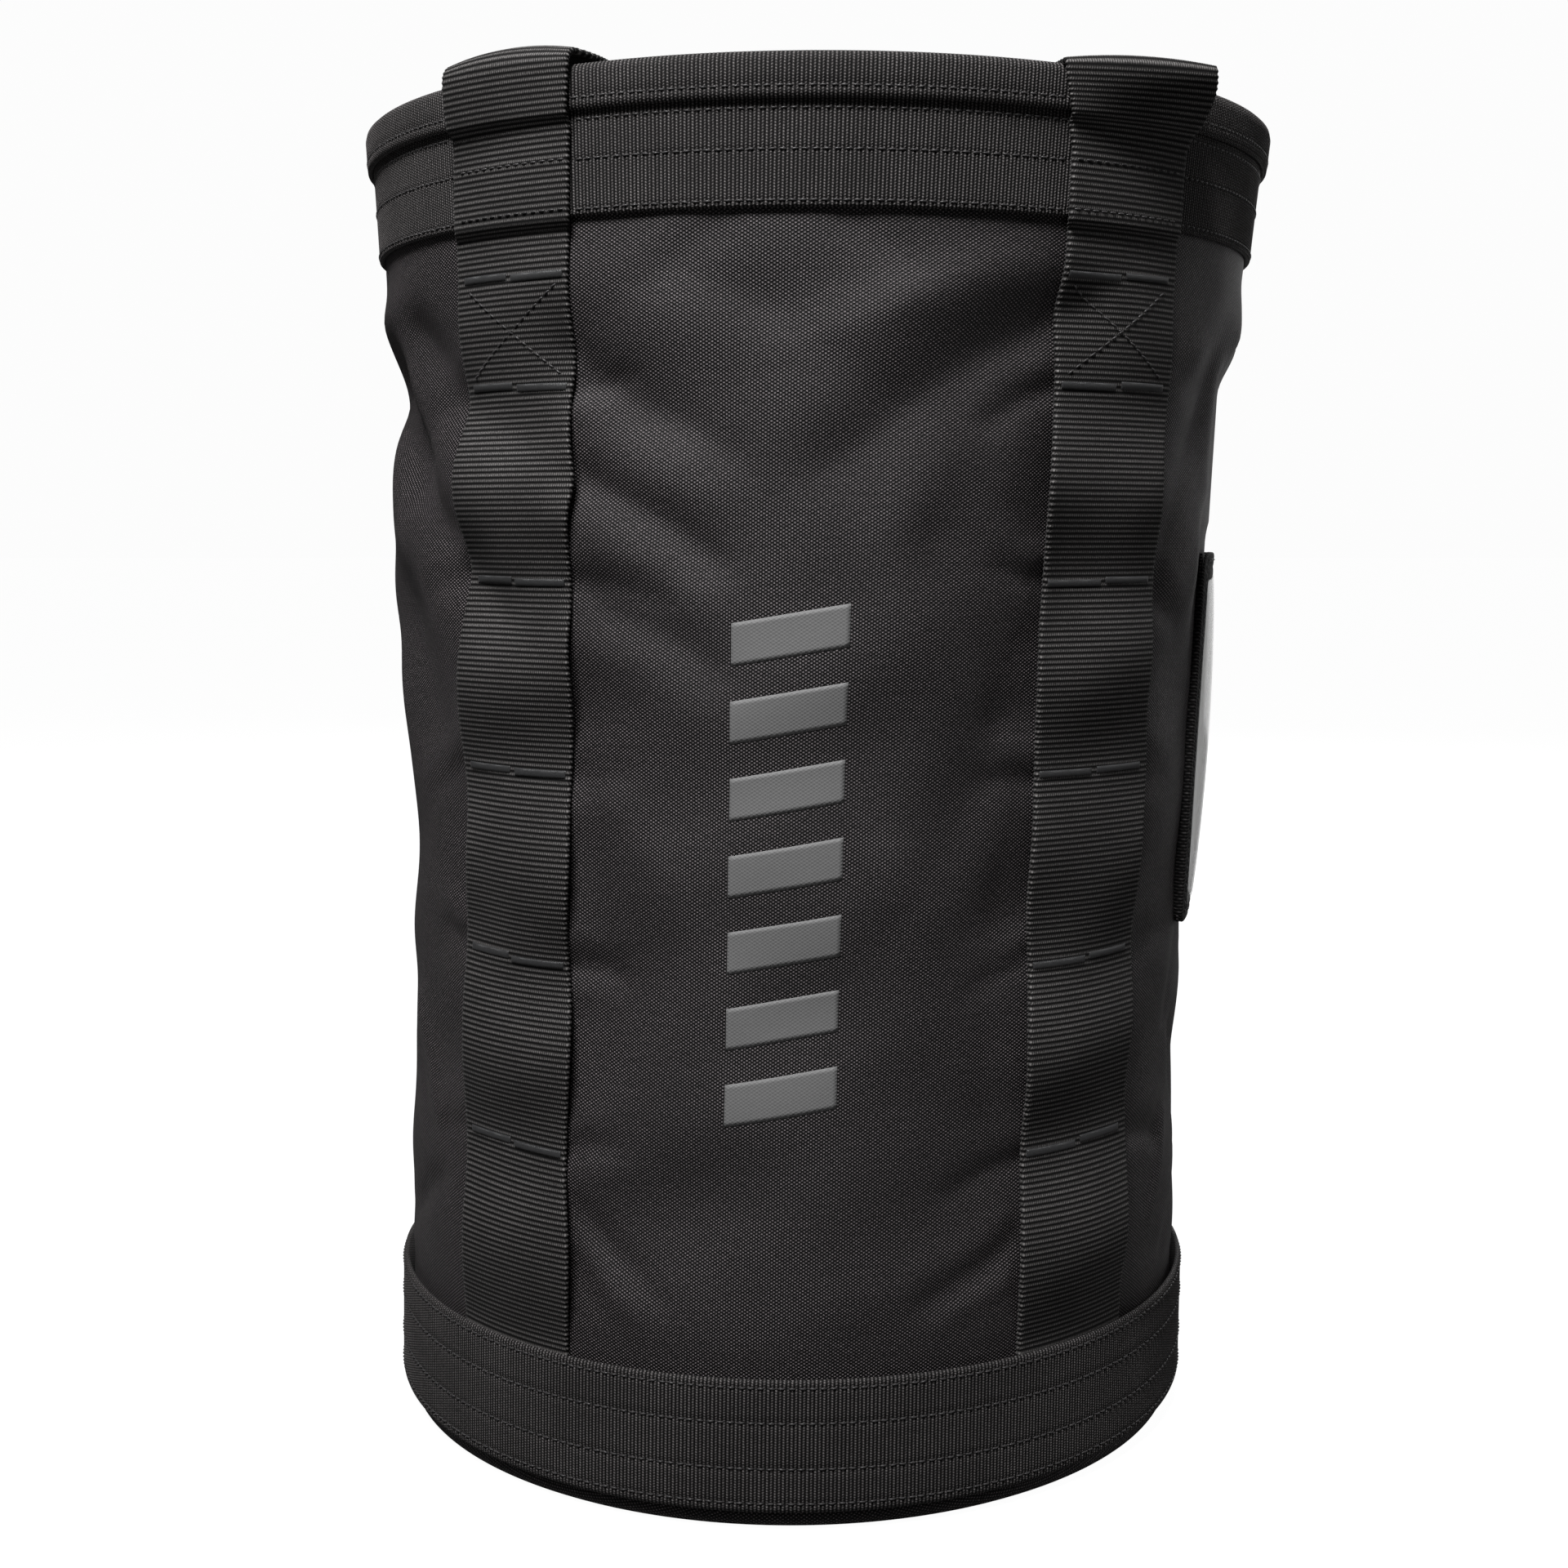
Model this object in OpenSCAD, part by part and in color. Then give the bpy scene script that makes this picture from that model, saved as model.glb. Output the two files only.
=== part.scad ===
// Round bucket bag that stores a climbing or rigging rope: a flared fabric wall between a webbing
// rim and a webbing base band, with four daisy-chain straps that carry two handles over the mouth.
// Millimetres. The bag stands on z = 0, its axis is Z, its front faces -Y.

/* [Bag] */
// Height from the floor to the top of the rim
bag_h = 464.5; // [440:0.5:480]
// Outer radius of the fabric wall at the base
base_r = 145; // [130:0.5:155]
// Outer radius of the fabric wall at the mouth
mouth_r = 163; // [160:0.5:175]
// How late the wall flares: 1 is a straight cone, 3 flares only near the mouth
flare_power = 2.3; // [1.5:0.1:3]
// Thickness of the coated wall fabric
wall_t = 1.2; // [0.8:0.1:1.6]
// Height of the wall's lower edge and of the base band above the floor
base_gap = 7; // [5:0.5:10]
// Thickness of the foam pad on the floor
pad_t = 5; // [3:0.5:6]

/* [Webbing] */
// Width of the heavy webbing of the straps and bands
web_w = 50; // [40:1:54]
// Thickness of the heavy webbing
web_t = 1.8; // [1.2:0.1:2.2]
// Width of the light webbing of the tie loops
tie_w = 25; // [15:1:30]
// Visible height of the base band
base_band_h = 44; // [35:0.5:50]
// Visible height of the rim band, from its lower edge to the top of the rim
rim_band_h = 45.5; // [40:0.5:50]
// Height of each leg of the binding folded over the rim
binding_h = 14; // [10:0.5:18]

/* [Straps] */
// Distance of a strap's middle from the centre plane at the floor
strap_x0 = 93.5; // [85:0.5:100]
// How much further out a strap's middle is at the rim
strap_spread = 5; // [0:0.5:10]
// Height of the lower tack row of the cross-stitched box
box_z = 368; // [350:1:374]
// Height of the cross-stitched box
box_h = 34; // [28:1:38]
// Height of one daisy-chain loop, from tack row to tack row
loop_pitch = 62.5; // [50:0.5:65]
// How far a loop stands off the wall at its middle
loop_gap = 4.6; // [1:0.1:6]
// Length of one bar tack
tack_l = 21.5; // [15:0.5:23]
// Height of one bar tack
tack_h = 2.5; // [1.5:0.1:4]

/* [Handles] */
// Height of the handle webbing's lower face at the rim crossing
handle_z0 = 467.5; // [466:0.5:475]
// Height of the handle webbing's lower face at its middle
handle_z1 = 488; // [480:1:520]
// Half length of the part of a handle that swings
handle_half = 100; // [80:1:102]
// Crown across the free webbing
crown = 0.8; // [0.4:0.1:2]

/* [ID pocket] */
// Width of the pocket around the wall
pocket_w = 108; // [80:1:120]
// Height of the pocket
pocket_h = 134; // [100:1:150]
// Height of the pocket's lower edge above the floor
pocket_z = 180; // [150:1:190]
// Width of the tape border around the window
border_w = 8; // [5:0.5:12]
// Height of the hem along the pocket's open top
hem_h = 10; // [6:0.5:14]
// Lean of the pocket away from the bag's axis, in degrees
pocket_tilt = 3; // [2.5:0.1:4]

/* [Hidden] */
$fn = 96;

gap = 0.1;
strap_gap = 0.3;
thread = 0.5;
fabric_black = [0.07, 0.065, 0.07];
webbing_black = [0.05, 0.05, 0.052];
thread_black = [0.09, 0.09, 0.1];

// Wall
wall_z0 = base_gap;
wall_z1 = bag_h - web_t - gap;
wall_steps = 14;

// Bands
base_band_z0 = base_gap;
base_band_z1 = base_band_z0 + base_band_h;
base_band_r = base_r + web_t + 0.5;
rim_band_z0 = bag_h - rim_band_h;
binding_z0 = bag_h - binding_h;
hoop_t = 1;
seam_tape_t = 1;
base_rows = [for (up = [3.6, 15, 30, 41.5]) base_band_z0 + up];
rim_rows = [rim_band_z0 + 2, rim_band_z0 + 17];
binding_row = binding_z0 + 3.5;

// Straps
strap_tuck = 9;
box_top = box_z + box_h;
loop_n = 5;
loop_edges = concat(
    [base_band_z1 + 1],
    [for (i = [loop_n - 1 : -1 : 0]) box_z - i * loop_pitch]
);
tack_rows = concat([for (i = [1 : loop_n]) loop_edges[i]], [box_top]);
loop_steps = 8;
ring_n = 4;
ramp = 4;
sewn_top = binding_z0 + 5;
crossing_y = 151.5;
handle_split = 4;
handle_x = strap_x0 + strap_spread;
handle_steps = 24;

// Pocket, in a cylinder of its own that leans with pocket_tilt
pocket_mid = pocket_z + pocket_h / 2;
pocket_off = 1.5;
backing_t = 0.8;
card_t = 0.4;
card_gap = 0.35;
window_t = 0.5;
card_h = pocket_h - 2 * border_w - 6;

// Printed mark: a column of plain slanted bars
print_w = 36;
print_z = 218;
print_l = 172;
print_n = 7;
print_t = 0.15;

function wall_r(z) = base_r + (mouth_r - base_r) * pow(max(z, 0) / bag_h, flare_power);
function rise(z, a, b) = min(1, max(0, (z - a) / (b - a)));
function smooth(t) = t * t * (3 - 2 * t);
function sagitta(r, half) = r - sqrt(r * r - half * half);

// Radius of the rim band's inner and outer faces and of the binding's outer face
function rim_r(z) = wall_r(z) + gap;
function rim_out(z) = rim_r(z) + web_t;
function binding_out(z) = rim_out(z) + gap + web_t;

// How far the loops lift the strap off the wall at a height
function bulge(z) = loop_gap * max([
    for (i = [0 : loop_n - 1])
        z > loop_edges[i] && z < loop_edges[i + 1]
            ? pow(sin(180 * (z - loop_edges[i]) / (loop_edges[i + 1] - loop_edges[i])), 2)
            : 0
]);
// Radius of the strap's inner face: on the wall, then on the rim band, then on the binding
function strap_r(z) = wall_r(z) + strap_gap + bulge(z)
    + (web_t + gap + thread) * smooth(rise(z, rim_band_z0 - ramp, rim_band_z0 - 1))
    + (web_t + gap + thread) * smooth(rise(z, binding_z0 - ramp, binding_z0 - 1));
function strap_x(z) = strap_x0 + strap_spread * z / bag_h;
function strap_y(r, z) = -sqrt(r * r - pow(strap_x(z), 2));
function strap_angle(z) = asin(strap_x(z) / strap_r(z));

// A station of a webbing sweep: centre of the lower face, width direction, face normal, crown
function sewn_station(z) =
    let (r = strap_r(z), a = strap_angle(z))
    [[strap_x(z), strap_y(r, z), z], [cos(a), sin(a), 0], [sin(a), -cos(a), 0], sagitta(r, web_w / 2)];

// Above the sewn part the strap turns square to the bag and bends back over the rim
bend_r = 6;
bend_steps = 5;
function turned_station(t) =
    let (a = strap_angle(sewn_top) * (1 - smooth(t)),
         z = sewn_top + t * (handle_z0 - bend_r - sewn_top),
         y0 = strap_y(strap_r(sewn_top), sewn_top))
    [[strap_x(z), y0 + t * (-crossing_y - y0), z], [cos(a), sin(a), 0], [sin(a), -cos(a), 0],
     sagitta(strap_r(sewn_top), web_w / 2) * (1 - t) + crown * t];
function bend_station(t) =
    let (a = 90 * t)
    [[handle_x, -crossing_y + bend_r * (1 - cos(a)), handle_z0 - bend_r + bend_r * sin(a)],
     [1, 0, 0], [0, -cos(a), sin(a)], crown];
// The handle's arch over the mouth, from front to back
function arch_z(y) = handle_z0 + (handle_z1 - handle_z0) * pow(cos(90 * y / crossing_y), 1.5);
function arch_station(y) =
    let (e = 0.5, slope = (arch_z(y + e) - arch_z(y - e)) / (2 * e), l = norm([1, slope]))
    [[handle_x, y, arch_z(y)], [1, 0, 0], [0, -slope / l, 1 / l], crown];

function strap_stations() = concat(
    [for (z = [base_band_z1 - strap_tuck, base_band_z1]) sewn_station(z)],
    [for (i = [0 : loop_n - 1], k = [(i == 0 ? 0 : 1) : loop_steps])
        sewn_station(loop_edges[i] + (loop_edges[i + 1] - loop_edges[i]) * k / loop_steps)],
    [for (z = [box_z + box_h / 2, box_top, rim_band_z0 - ramp, rim_band_z0 - ramp / 2, rim_band_z0,
        rim_rows[1], binding_z0 - ramp, binding_z0 - ramp / 2, binding_z0, sewn_top])
        sewn_station(z)],
    [for (k = [1 : 4]) turned_station(k / 4)],
    [for (k = [1 : bend_steps - 1]) bend_station(k / bend_steps)],
    [for (y = [-crossing_y + bend_r + 2, -crossing_y + 18, -handle_half - handle_split - 10,
        -handle_half - handle_split]) arch_station(y)]
);
function handle_stations() =
    [for (k = [0 : handle_steps]) arch_station(-handle_half + 2 * handle_half * k / handle_steps)];

// Points round one station: the lower face from edge to edge, then the upper face back
function station_points(s, width) = concat(
    [for (i = [0 : ring_n]) let (u = 2 * i / ring_n - 1)
        s[0] + u * width / 2 * s[1] - s[3] * u * u * s[2]],
    [for (i = [ring_n : -1 : 0]) let (u = 2 * i / ring_n - 1)
        s[0] + u * width / 2 * s[1] + (web_t - s[3] * u * u) * s[2]]
);

// Webbing swept through a list of stations
module webbing(stations, width) {
    rings = len(stations);
    k = 2 * (ring_n + 1);
    sides = [
        for (i = [0 : rings - 2], j = [0 : k - 1])
            [i * k + j, (i + 1) * k + j, (i + 1) * k + (j + 1) % k, i * k + (j + 1) % k]
    ];
    first = [for (j = [0 : k - 1]) j];
    last = [for (j = [k - 1 : -1 : 0]) (rings - 1) * k + j];
    polyhedron(
        [for (s = stations) each station_points(s, width)],
        concat(sides, [first, last]),
        convexity = 10
    );
}

// Puts a child made for the front right corner at any corner
module corner(side, end) {
    mirror([side < 0 ? 1 : 0, 0, 0])
        mirror([0, end > 0 ? 1 : 0, 0])
            children();
}

// Ring with a rectangular section that follows the wall's flare between two heights
module flared_ring(z0, z1, inside, thick, steps = 6) {
    zs = [for (i = [0 : steps]) z0 + (z1 - z0) * i / steps];
    rotate_extrude()
        polygon(concat(
            [for (z = zs) [wall_r(z) + inside, z]],
            [for (i = [steps : -1 : 0]) [wall_r(zs[i]) + inside + thick, zs[i]]]
        ));
}

// Line of thread all round the bag
module thread_ring(r, z) {
    rotate_extrude() translate([r, z - thread / 2]) square([thread, thread]);
}

module body_panel() {
    color(fabric_black) flared_ring(wall_z0, wall_z1, -wall_t, wall_t, wall_steps);
}

// Tape over the wall's one vertical seam, inside at the back
module back_seam_tape() {
    tape_w = 20;
    heights = [for (k = [0 : wall_steps]) 20 + (binding_z0 - 8 - 20) * k / wall_steps];
    color(webbing_black)
        rotate([0, 0, 90 - tape_w / base_r * 90 / PI])
            rotate_extrude(angle = tape_w / base_r * 180 / PI)
                polygon(concat(
                    [for (z = heights) [wall_r(z) - wall_t - 0.3, z]],
                    [for (k = [len(heights) - 1 : -1 : 0]) [wall_r(heights[k]) - wall_t - 1.1, heights[k]]]
                ));
}

// Floor of the bag: a disc whose edge curls up to the wall's lower edge
module base_panel() {
    edge_r = base_r - wall_t / 2;
    top = base_gap - gap;
    color(fabric_black)
        rotate_extrude()
            polygon([
                [0, 0], [edge_r - 6, 0], [edge_r - 1.5, 0.7], [edge_r, 2.5], [edge_r, top],
                [edge_r - wall_t, top], [edge_r - wall_t, 3], [edge_r - 2.8, 1.8],
                [edge_r - 7, wall_t], [0, wall_t]
            ]);
}

// Foam pad that keeps the floor flat
module base_pad() {
    color([0.16, 0.16, 0.17])
        translate([0, 0, wall_t + gap]) cylinder(h = pad_t, r = base_r - 14);
}

// Tape that binds the cut edges of the floor seam
module base_seam_binding() {
    color(webbing_black)
        rotate_extrude()
            translate([base_r - wall_t - 0.2 - seam_tape_t, base_gap + gap]) square([seam_tape_t, 10]);
}

module base_band() {
    color(webbing_black)
        rotate_extrude()
            polygon([
                [base_band_r - 1.5, base_band_z0], [base_band_r + web_t - 1.5, base_band_z0],
                [base_band_r + web_t, base_band_z0 + 3], [base_band_r + web_t, base_band_z1],
                [base_band_r, base_band_z1], [base_band_r, base_band_z0 + 3]
            ]);
}

module base_band_stitching() {
    color(thread_black)
        for (z = base_rows) thread_ring(base_band_r + web_t + 0.02, z);
}

module rim_band() {
    color(webbing_black) flared_ring(rim_band_z0, wall_z1, gap, web_t, 4);
}

// Webbing folded over the cut edge of the wall and the rim band
module rim_binding() {
    inner = -wall_t - 2 * gap - hoop_t - gap - web_t;
    outer = 2 * gap + 2 * web_t;
    crown_z = bag_h - web_t;
    color(webbing_black)
        rotate_extrude()
            polygon([
                [wall_r(binding_z0) + outer, binding_z0], [wall_r(crown_z) + outer, crown_z - 1.5],
                [wall_r(bag_h) + outer - 1.6, bag_h], [wall_r(bag_h) + inner + 1.6, bag_h],
                [wall_r(crown_z) + inner, crown_z - 1.5], [wall_r(binding_z0) + inner, binding_z0],
                [wall_r(binding_z0) + inner + web_t, binding_z0],
                [wall_r(crown_z) + inner + web_t, crown_z],
                [wall_r(crown_z) + outer - web_t, crown_z],
                [wall_r(binding_z0) + outer - web_t, binding_z0]
            ]);
}

// Plastic strip inside the binding that holds the mouth round
module rim_hoop() {
    color([0.2, 0.2, 0.2])
        flared_ring(binding_z0 + 2, wall_z1 - 1, -wall_t - gap - hoop_t, hoop_t, 2);
}

module rim_stitching() {
    color(thread_black) {
        for (z = rim_rows) thread_ring(rim_out(z) + 0.1, z);
        thread_ring(binding_out(binding_row) + 0.2, binding_row);
    }
}

module strap(side, end) {
    color(webbing_black) corner(side, end) webbing(strap_stations(), web_w);
}

// Two tacks in each row, side by side across the strap
module bar_tacks(side, end) {
    color(thread_black)
        corner(side, end)
            for (z = tack_rows, half = [-1, 1]) {
                r = strap_r(z) + web_t + 0.2;
                sweep = tack_l / r * 180 / PI;
                middle = strap_angle(z) - 90 + half * (sweep / 2 + 0.35);
                translate([0, 0, z - tack_h / 2 + half * 0.4])
                    rotate([0, 0, middle - sweep / 2])
                        rotate_extrude(angle = sweep)
                            translate([r, 0]) square([0.6, tack_h]);
            }
}

// One stitch on the strap's outer face, u along its width from -1 to 1
module stitch(u, z, lean) {
    r = strap_r(z) + web_t + 0.2;
    a = strap_angle(z) - 90 + u * (web_w / 2 - 4) / r * 180 / PI;
    rotate([0, 0, a])
        translate([r + thread / 2, 0, z])
            rotate([lean, 0, 0])
                cube([thread, 3, thread], center = true);
}

// The cross in the box, and the two rows that sew the strap to the rim band
module strap_stitching(side, end) {
    n = 9;
    lean = atan((box_h - 10) / (web_w - 8));
    color(thread_black)
        corner(side, end) {
            for (k = [0 : n - 1], d = [-1, 1]) {
                u = 2 * k / (n - 1) - 1;
                if (d > 0 || k != (n - 1) / 2)
                    stitch(u, box_z + box_h / 2 + d * u * (box_h / 2 - 5), d * lean);
            }
            for (z = rim_rows, k = [0 : n - 1]) stitch(2 * k / (n - 1) - 1, z, 0);
        }
}

module handle(side) {
    color(webbing_black) corner(side, -1) webbing(handle_stations(), web_w);
}

// Moves the pocket's own cylinder to the right side of the bag and leans it outwards
module pocket_place() {
    r = wall_r(pocket_mid) + pocket_off;
    translate([r, 0, pocket_mid]) rotate([0, pocket_tilt, 0]) translate([-r, 0, -pocket_h / 2]) children();
}

// Plate on the pocket's cylinder: depth above the inner face, thickness, width, bottom, height
module pocket_plate(depth, thick, width, z, height) {
    r = wall_r(pocket_mid) + pocket_off + depth;
    sweep = width / r * 180 / PI;
    translate([0, 0, z])
        rotate([0, 0, -sweep / 2])
            rotate_extrude(angle = sweep)
                translate([r, 0]) square([thick, height]);
}

window_depth = backing_t + 2 * card_gap + card_t;

module id_pocket_backing() {
    color(fabric_black) pocket_place() pocket_plate(0, backing_t, pocket_w, 0, pocket_h);
}

module id_pocket_border() {
    inside = window_depth + window_t + gap;
    color(webbing_black)
        pocket_place()
            difference() {
                pocket_plate(inside, 1.2, pocket_w, 0, pocket_h);
                pocket_plate(inside - 1, 3.2, pocket_w - 2 * border_w, border_w,
                    pocket_h - border_w - hem_h);
            }
}

module id_pocket_stitching() {
    top = window_depth + window_t + gap + 1.25;
    line_w = pocket_w - border_w;
    color(thread_black)
        pocket_place()
            difference() {
                pocket_plate(top, 0.4, line_w, border_w / 2, pocket_h - border_w / 2 - 2);
                pocket_plate(top - 1, 2.4, line_w - 2 * thread, border_w / 2 + thread,
                    pocket_h - border_w / 2 - 2 - 2 * thread);
            }
}

module id_window() {
    color([0.85, 0.88, 0.9, 0.35])
        pocket_place() pocket_plate(window_depth, window_t, pocket_w - 4, 2, pocket_h - 4);
}

module id_card() {
    color([0.92, 0.92, 0.9])
        pocket_place()
            pocket_plate(backing_t + card_gap, card_t, pocket_w - 2 * border_w - 2, border_w + 1, card_h);
}

// Flat loop of light webbing with its two layers sewn together at one end
module tie_loop(loop_l, loop_d) {
    t = 1.6;
    rotate([90, 0, 90])
        translate([0, 0, -tie_w / 2])
            linear_extrude(height = tie_w)
                difference() {
                    union() {
                        translate([-loop_d / 2, 0]) square([loop_d, loop_l - loop_d / 2]);
                        translate([0, loop_l - loop_d / 2]) circle(d = loop_d);
                    }
                    translate([t - loop_d / 2, 12]) square([loop_d - 2 * t, loop_l - loop_d / 2 - 12]);
                    translate([0, loop_l - loop_d / 2]) circle(d = loop_d - 2 * t);
                }
}

tie_d = 12;
base_tie_z = 22;
base_tie_l = 52;
rim_tie_z = 436;
rim_tie_l = 48;
rim_tie_lean = atan((wall_r(rim_tie_z) - wall_r(rim_tie_z - rim_tie_l)) / rim_tie_l);

// Places a loop's back face just inside the wall at the back of the bag
module base_tie_place() {
    inner = base_r - wall_t - 0.2 - seam_tape_t - sagitta(base_r, tie_w / 2) - 0.2;
    translate([0, inner - gap - tie_d / 2, base_tie_z]) children();
}

module rim_tie_place() {
    inner = wall_r(rim_tie_z) - wall_t - 1.1 - sagitta(mouth_r, tie_w / 2) - 0.4;
    translate([0, inner, rim_tie_z])
        rotate([-rim_tie_lean, 0, 0])
            translate([0, -tie_d / 2, 0])
                mirror([0, 0, 1])
                    children();
}

module base_tie_loop() {
    color(webbing_black) base_tie_place() tie_loop(base_tie_l, tie_d);
}

module rim_tie_loop() {
    color(webbing_black) rim_tie_place() tie_loop(rim_tie_l, tie_d);
}

module loop_tacks() {
    for (z = [3.5, 8.5])
        translate([-tie_w / 2 + 2, -tie_d / 2 - 0.65, z - 1]) cube([tie_w - 4, 0.6, 2]);
}

module tie_loop_tacks() {
    color(thread_black) {
        base_tie_place() loop_tacks();
        rim_tie_place() loop_tacks();
    }
}

// Slanted bars printed on the front
module front_print() {
    pitch = print_l / print_n;
    bar = pitch * 0.55;
    slant = print_w * 0.35;
    color([0.42, 0.42, 0.42])
        intersection() {
            flared_ring(print_z - print_l, print_z + print_l, 0.05, print_t, 16);
            rotate([90, 0, 0])
                translate([0, print_z - print_l / 2, base_r / 2])
                    linear_extrude(height = base_r)
                        for (i = [0 : print_n - 1])
                            translate([-print_w / 2, i * pitch])
                                polygon([[0, 0], [print_w, slant / 2], [print_w, slant / 2 + bar], [0, bar]]);
        }
}

body_panel();
back_seam_tape();
base_panel();
base_pad();
base_seam_binding();
base_band();
base_band_stitching();
rim_band();
rim_binding();
rim_hoop();
rim_stitching();
strap(-1, -1);  // front_left_strap
strap(1, -1);  // front_right_strap
strap(-1, 1);  // back_left_strap
strap(1, 1);  // back_right_strap
bar_tacks(-1, -1);  // front_left_bar_tacks
bar_tacks(1, -1);  // front_right_bar_tacks
bar_tacks(-1, 1);  // back_left_bar_tacks
bar_tacks(1, 1);  // back_right_bar_tacks
strap_stitching(-1, -1);  // front_left_stitching
strap_stitching(1, -1);  // front_right_stitching
strap_stitching(-1, 1);  // back_left_stitching
strap_stitching(1, 1);  // back_right_stitching
handle(-1);  // left_handle
handle(1);  // right_handle
id_pocket_backing();
id_pocket_border();
id_pocket_stitching();
id_window();
id_card();
base_tie_loop();
rim_tie_loop();
tie_loop_tacks();
front_print();
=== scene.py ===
import math

import bpy
import numpy as np
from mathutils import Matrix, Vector


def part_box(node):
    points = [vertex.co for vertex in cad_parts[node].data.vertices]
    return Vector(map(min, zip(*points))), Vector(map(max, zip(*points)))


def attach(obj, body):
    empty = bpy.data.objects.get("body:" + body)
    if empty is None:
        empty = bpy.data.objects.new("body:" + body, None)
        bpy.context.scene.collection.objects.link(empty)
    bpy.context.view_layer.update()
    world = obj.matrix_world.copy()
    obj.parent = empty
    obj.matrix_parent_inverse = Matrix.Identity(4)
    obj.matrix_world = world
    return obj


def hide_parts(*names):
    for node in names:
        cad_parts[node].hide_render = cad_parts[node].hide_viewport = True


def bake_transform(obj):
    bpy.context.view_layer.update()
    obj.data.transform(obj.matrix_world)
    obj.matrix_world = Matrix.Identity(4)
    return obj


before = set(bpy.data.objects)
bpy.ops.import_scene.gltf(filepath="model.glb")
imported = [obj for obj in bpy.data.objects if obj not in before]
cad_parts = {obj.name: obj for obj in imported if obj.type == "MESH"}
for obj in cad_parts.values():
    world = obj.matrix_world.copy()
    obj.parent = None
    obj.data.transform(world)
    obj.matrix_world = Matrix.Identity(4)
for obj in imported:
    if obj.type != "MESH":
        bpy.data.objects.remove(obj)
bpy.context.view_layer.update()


# === Sizes, in millimetres, from the frame where it has them ===
MM = 0.001


def node_box(node):
    """A CAD node's lowest and highest corners, in millimetres."""
    low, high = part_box(node)
    return np.array(low) / MM, np.array(high) / MM


BAG_H = node_box("rim_binding")[1][2]
BASE_BAND_Z0, BASE_BAND_Z1 = (node_box("base_band")[k][2] for k in (0, 1))
BASE_BAND_R = node_box("base_band")[1][0]
RIM_BAND_Z0 = node_box("rim_band")[0][2]
BINDING_Z0 = node_box("rim_binding")[0][2]
BASE_R = node_box("base_panel")[1][0] + 0.6
MOUTH_R = node_box("body_panel")[1][0]
FLARE_POWER = 2.3
MEAN_R = 150.0           # turns angles into millimetres round the bag, for folds and uv
WALL_T = 1.2
WEB_W = 50.0
WEB_T = 1.8
GAP = 0.1
STRAP_GAP = 0.3
THREAD_T = 0.5
LEAN_X = 10.0            # the soft bag's mouth stands this far to the right of its floor
LEAN_POWER = 1.25

STRAP_X0, STRAP_SPREAD = 93.5, 5.0
HANDLE_X = STRAP_X0 + STRAP_SPREAD
BOX_H, LOOP_PITCH, LOOP_N = 34.0, 62.5, 5
BOX_Z = node_box("front_left_bar_tacks")[1][2] - 1.65 - BOX_H
LOOP_GAP = 4.6
TACK_L, TACK_H = 21.5, 2.5
LOOP_EDGES = [BASE_BAND_Z1 + 1] + [BOX_Z - i * LOOP_PITCH for i in range(LOOP_N - 1, -1, -1)]
TACK_ROWS = LOOP_EDGES[1:] + [BOX_Z + BOX_H]
HANDLE_Z1 = node_box("left_handle")[1][2] - WEB_T
RIM_ROWS = [RIM_BAND_Z0 + 2, RIM_BAND_Z0 + 17]
BINDING_ROW = BINDING_Z0 + 3.5
BASE_ROWS = [BASE_BAND_Z0 + d for d in (3.6, 15, 30, 41.5)]
CORNERS = [(side, end) for end in (-1, 1) for side in (-1, 1)]
NAMES = {(-1, -1): "front_left", (1, -1): "front_right", (-1, 1): "back_left", (1, 1): "back_right"}
# How each strap crosses the rim: its angle from square, its bend's radius, the lower face's height,
# and how far its middle stands further out
CROSSINGS = {(-1, -1): (32.0, 6.0, 470.0, 0.0), (1, -1): (14.0, 2.4, 465.2, -0.8),
             (-1, 1): (12.0, 4.5, 467.5, 0.0), (1, 1): (6.0, 3.5, 466.5, 0.0)}


# === Camera ===
CAMERA_DISTANCE = 0.790
CAMERA_PITCH = 4.0
FOCAL_SHARE = 2526 / 1920      # focal length as a share of the frame's width

camera_data = bpy.data.cameras.new("camera")
camera = bpy.data.objects.new("camera", camera_data)
bpy.context.scene.collection.objects.link(camera)
camera.location = (0, -CAMERA_DISTANCE, 0.320)
camera.rotation_euler = (math.radians(90 - CAMERA_PITCH), 0, 0)
camera_data.sensor_width = 36
camera_data.lens = 36 * FOCAL_SHARE
camera_data.shift_y = -0.0661
camera_data.shift_x = -0.0042
bpy.context.scene.camera = camera


# === The bag's form: heights z and angles phi (0 at the front, positive towards +X) ===
def smooth(t):
    t = np.clip(t, 0, 1)
    return t * t * (3 - 2 * t)

# How far the filled-out wall stands off its even flare, by height
WAIST_Z = [0, 52, 62, 83, 107, 132, 156, 180, 205, 229, 253, 277, 301, 325, 349, 361, 373, 384, 396, 412, 500]
WAIST_R = [0, 0, 0.9, 0.5, -0.9, -1.3, -2.1, -2.6, -2.3, -1.9, -2.1, -1.2, 0.1, 0.1, -1.2, -1.7, -1.1, -0.3,
           0.6, 0, 0]
_even = np.arange(-60, 600, 1.0)
_soft = np.exp(-0.5 * (np.arange(-24, 25) / 8.0) ** 2)
WAIST = np.convolve(np.interp(_even, WAIST_Z, WAIST_R), _soft / _soft.sum(), "same")


def form_radius(z):
    """The wall's outer radius without folds."""
    flare = BASE_R + (MOUTH_R - BASE_R) * (np.maximum(z, 0) / BAG_H) ** FLARE_POWER
    return flare + np.interp(z, _even, WAIST) * smooth((z - 50) / 10)


def lean(z):
    return LEAN_X * (np.maximum(z, 0) / BAG_H) ** LEAN_POWER


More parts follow.
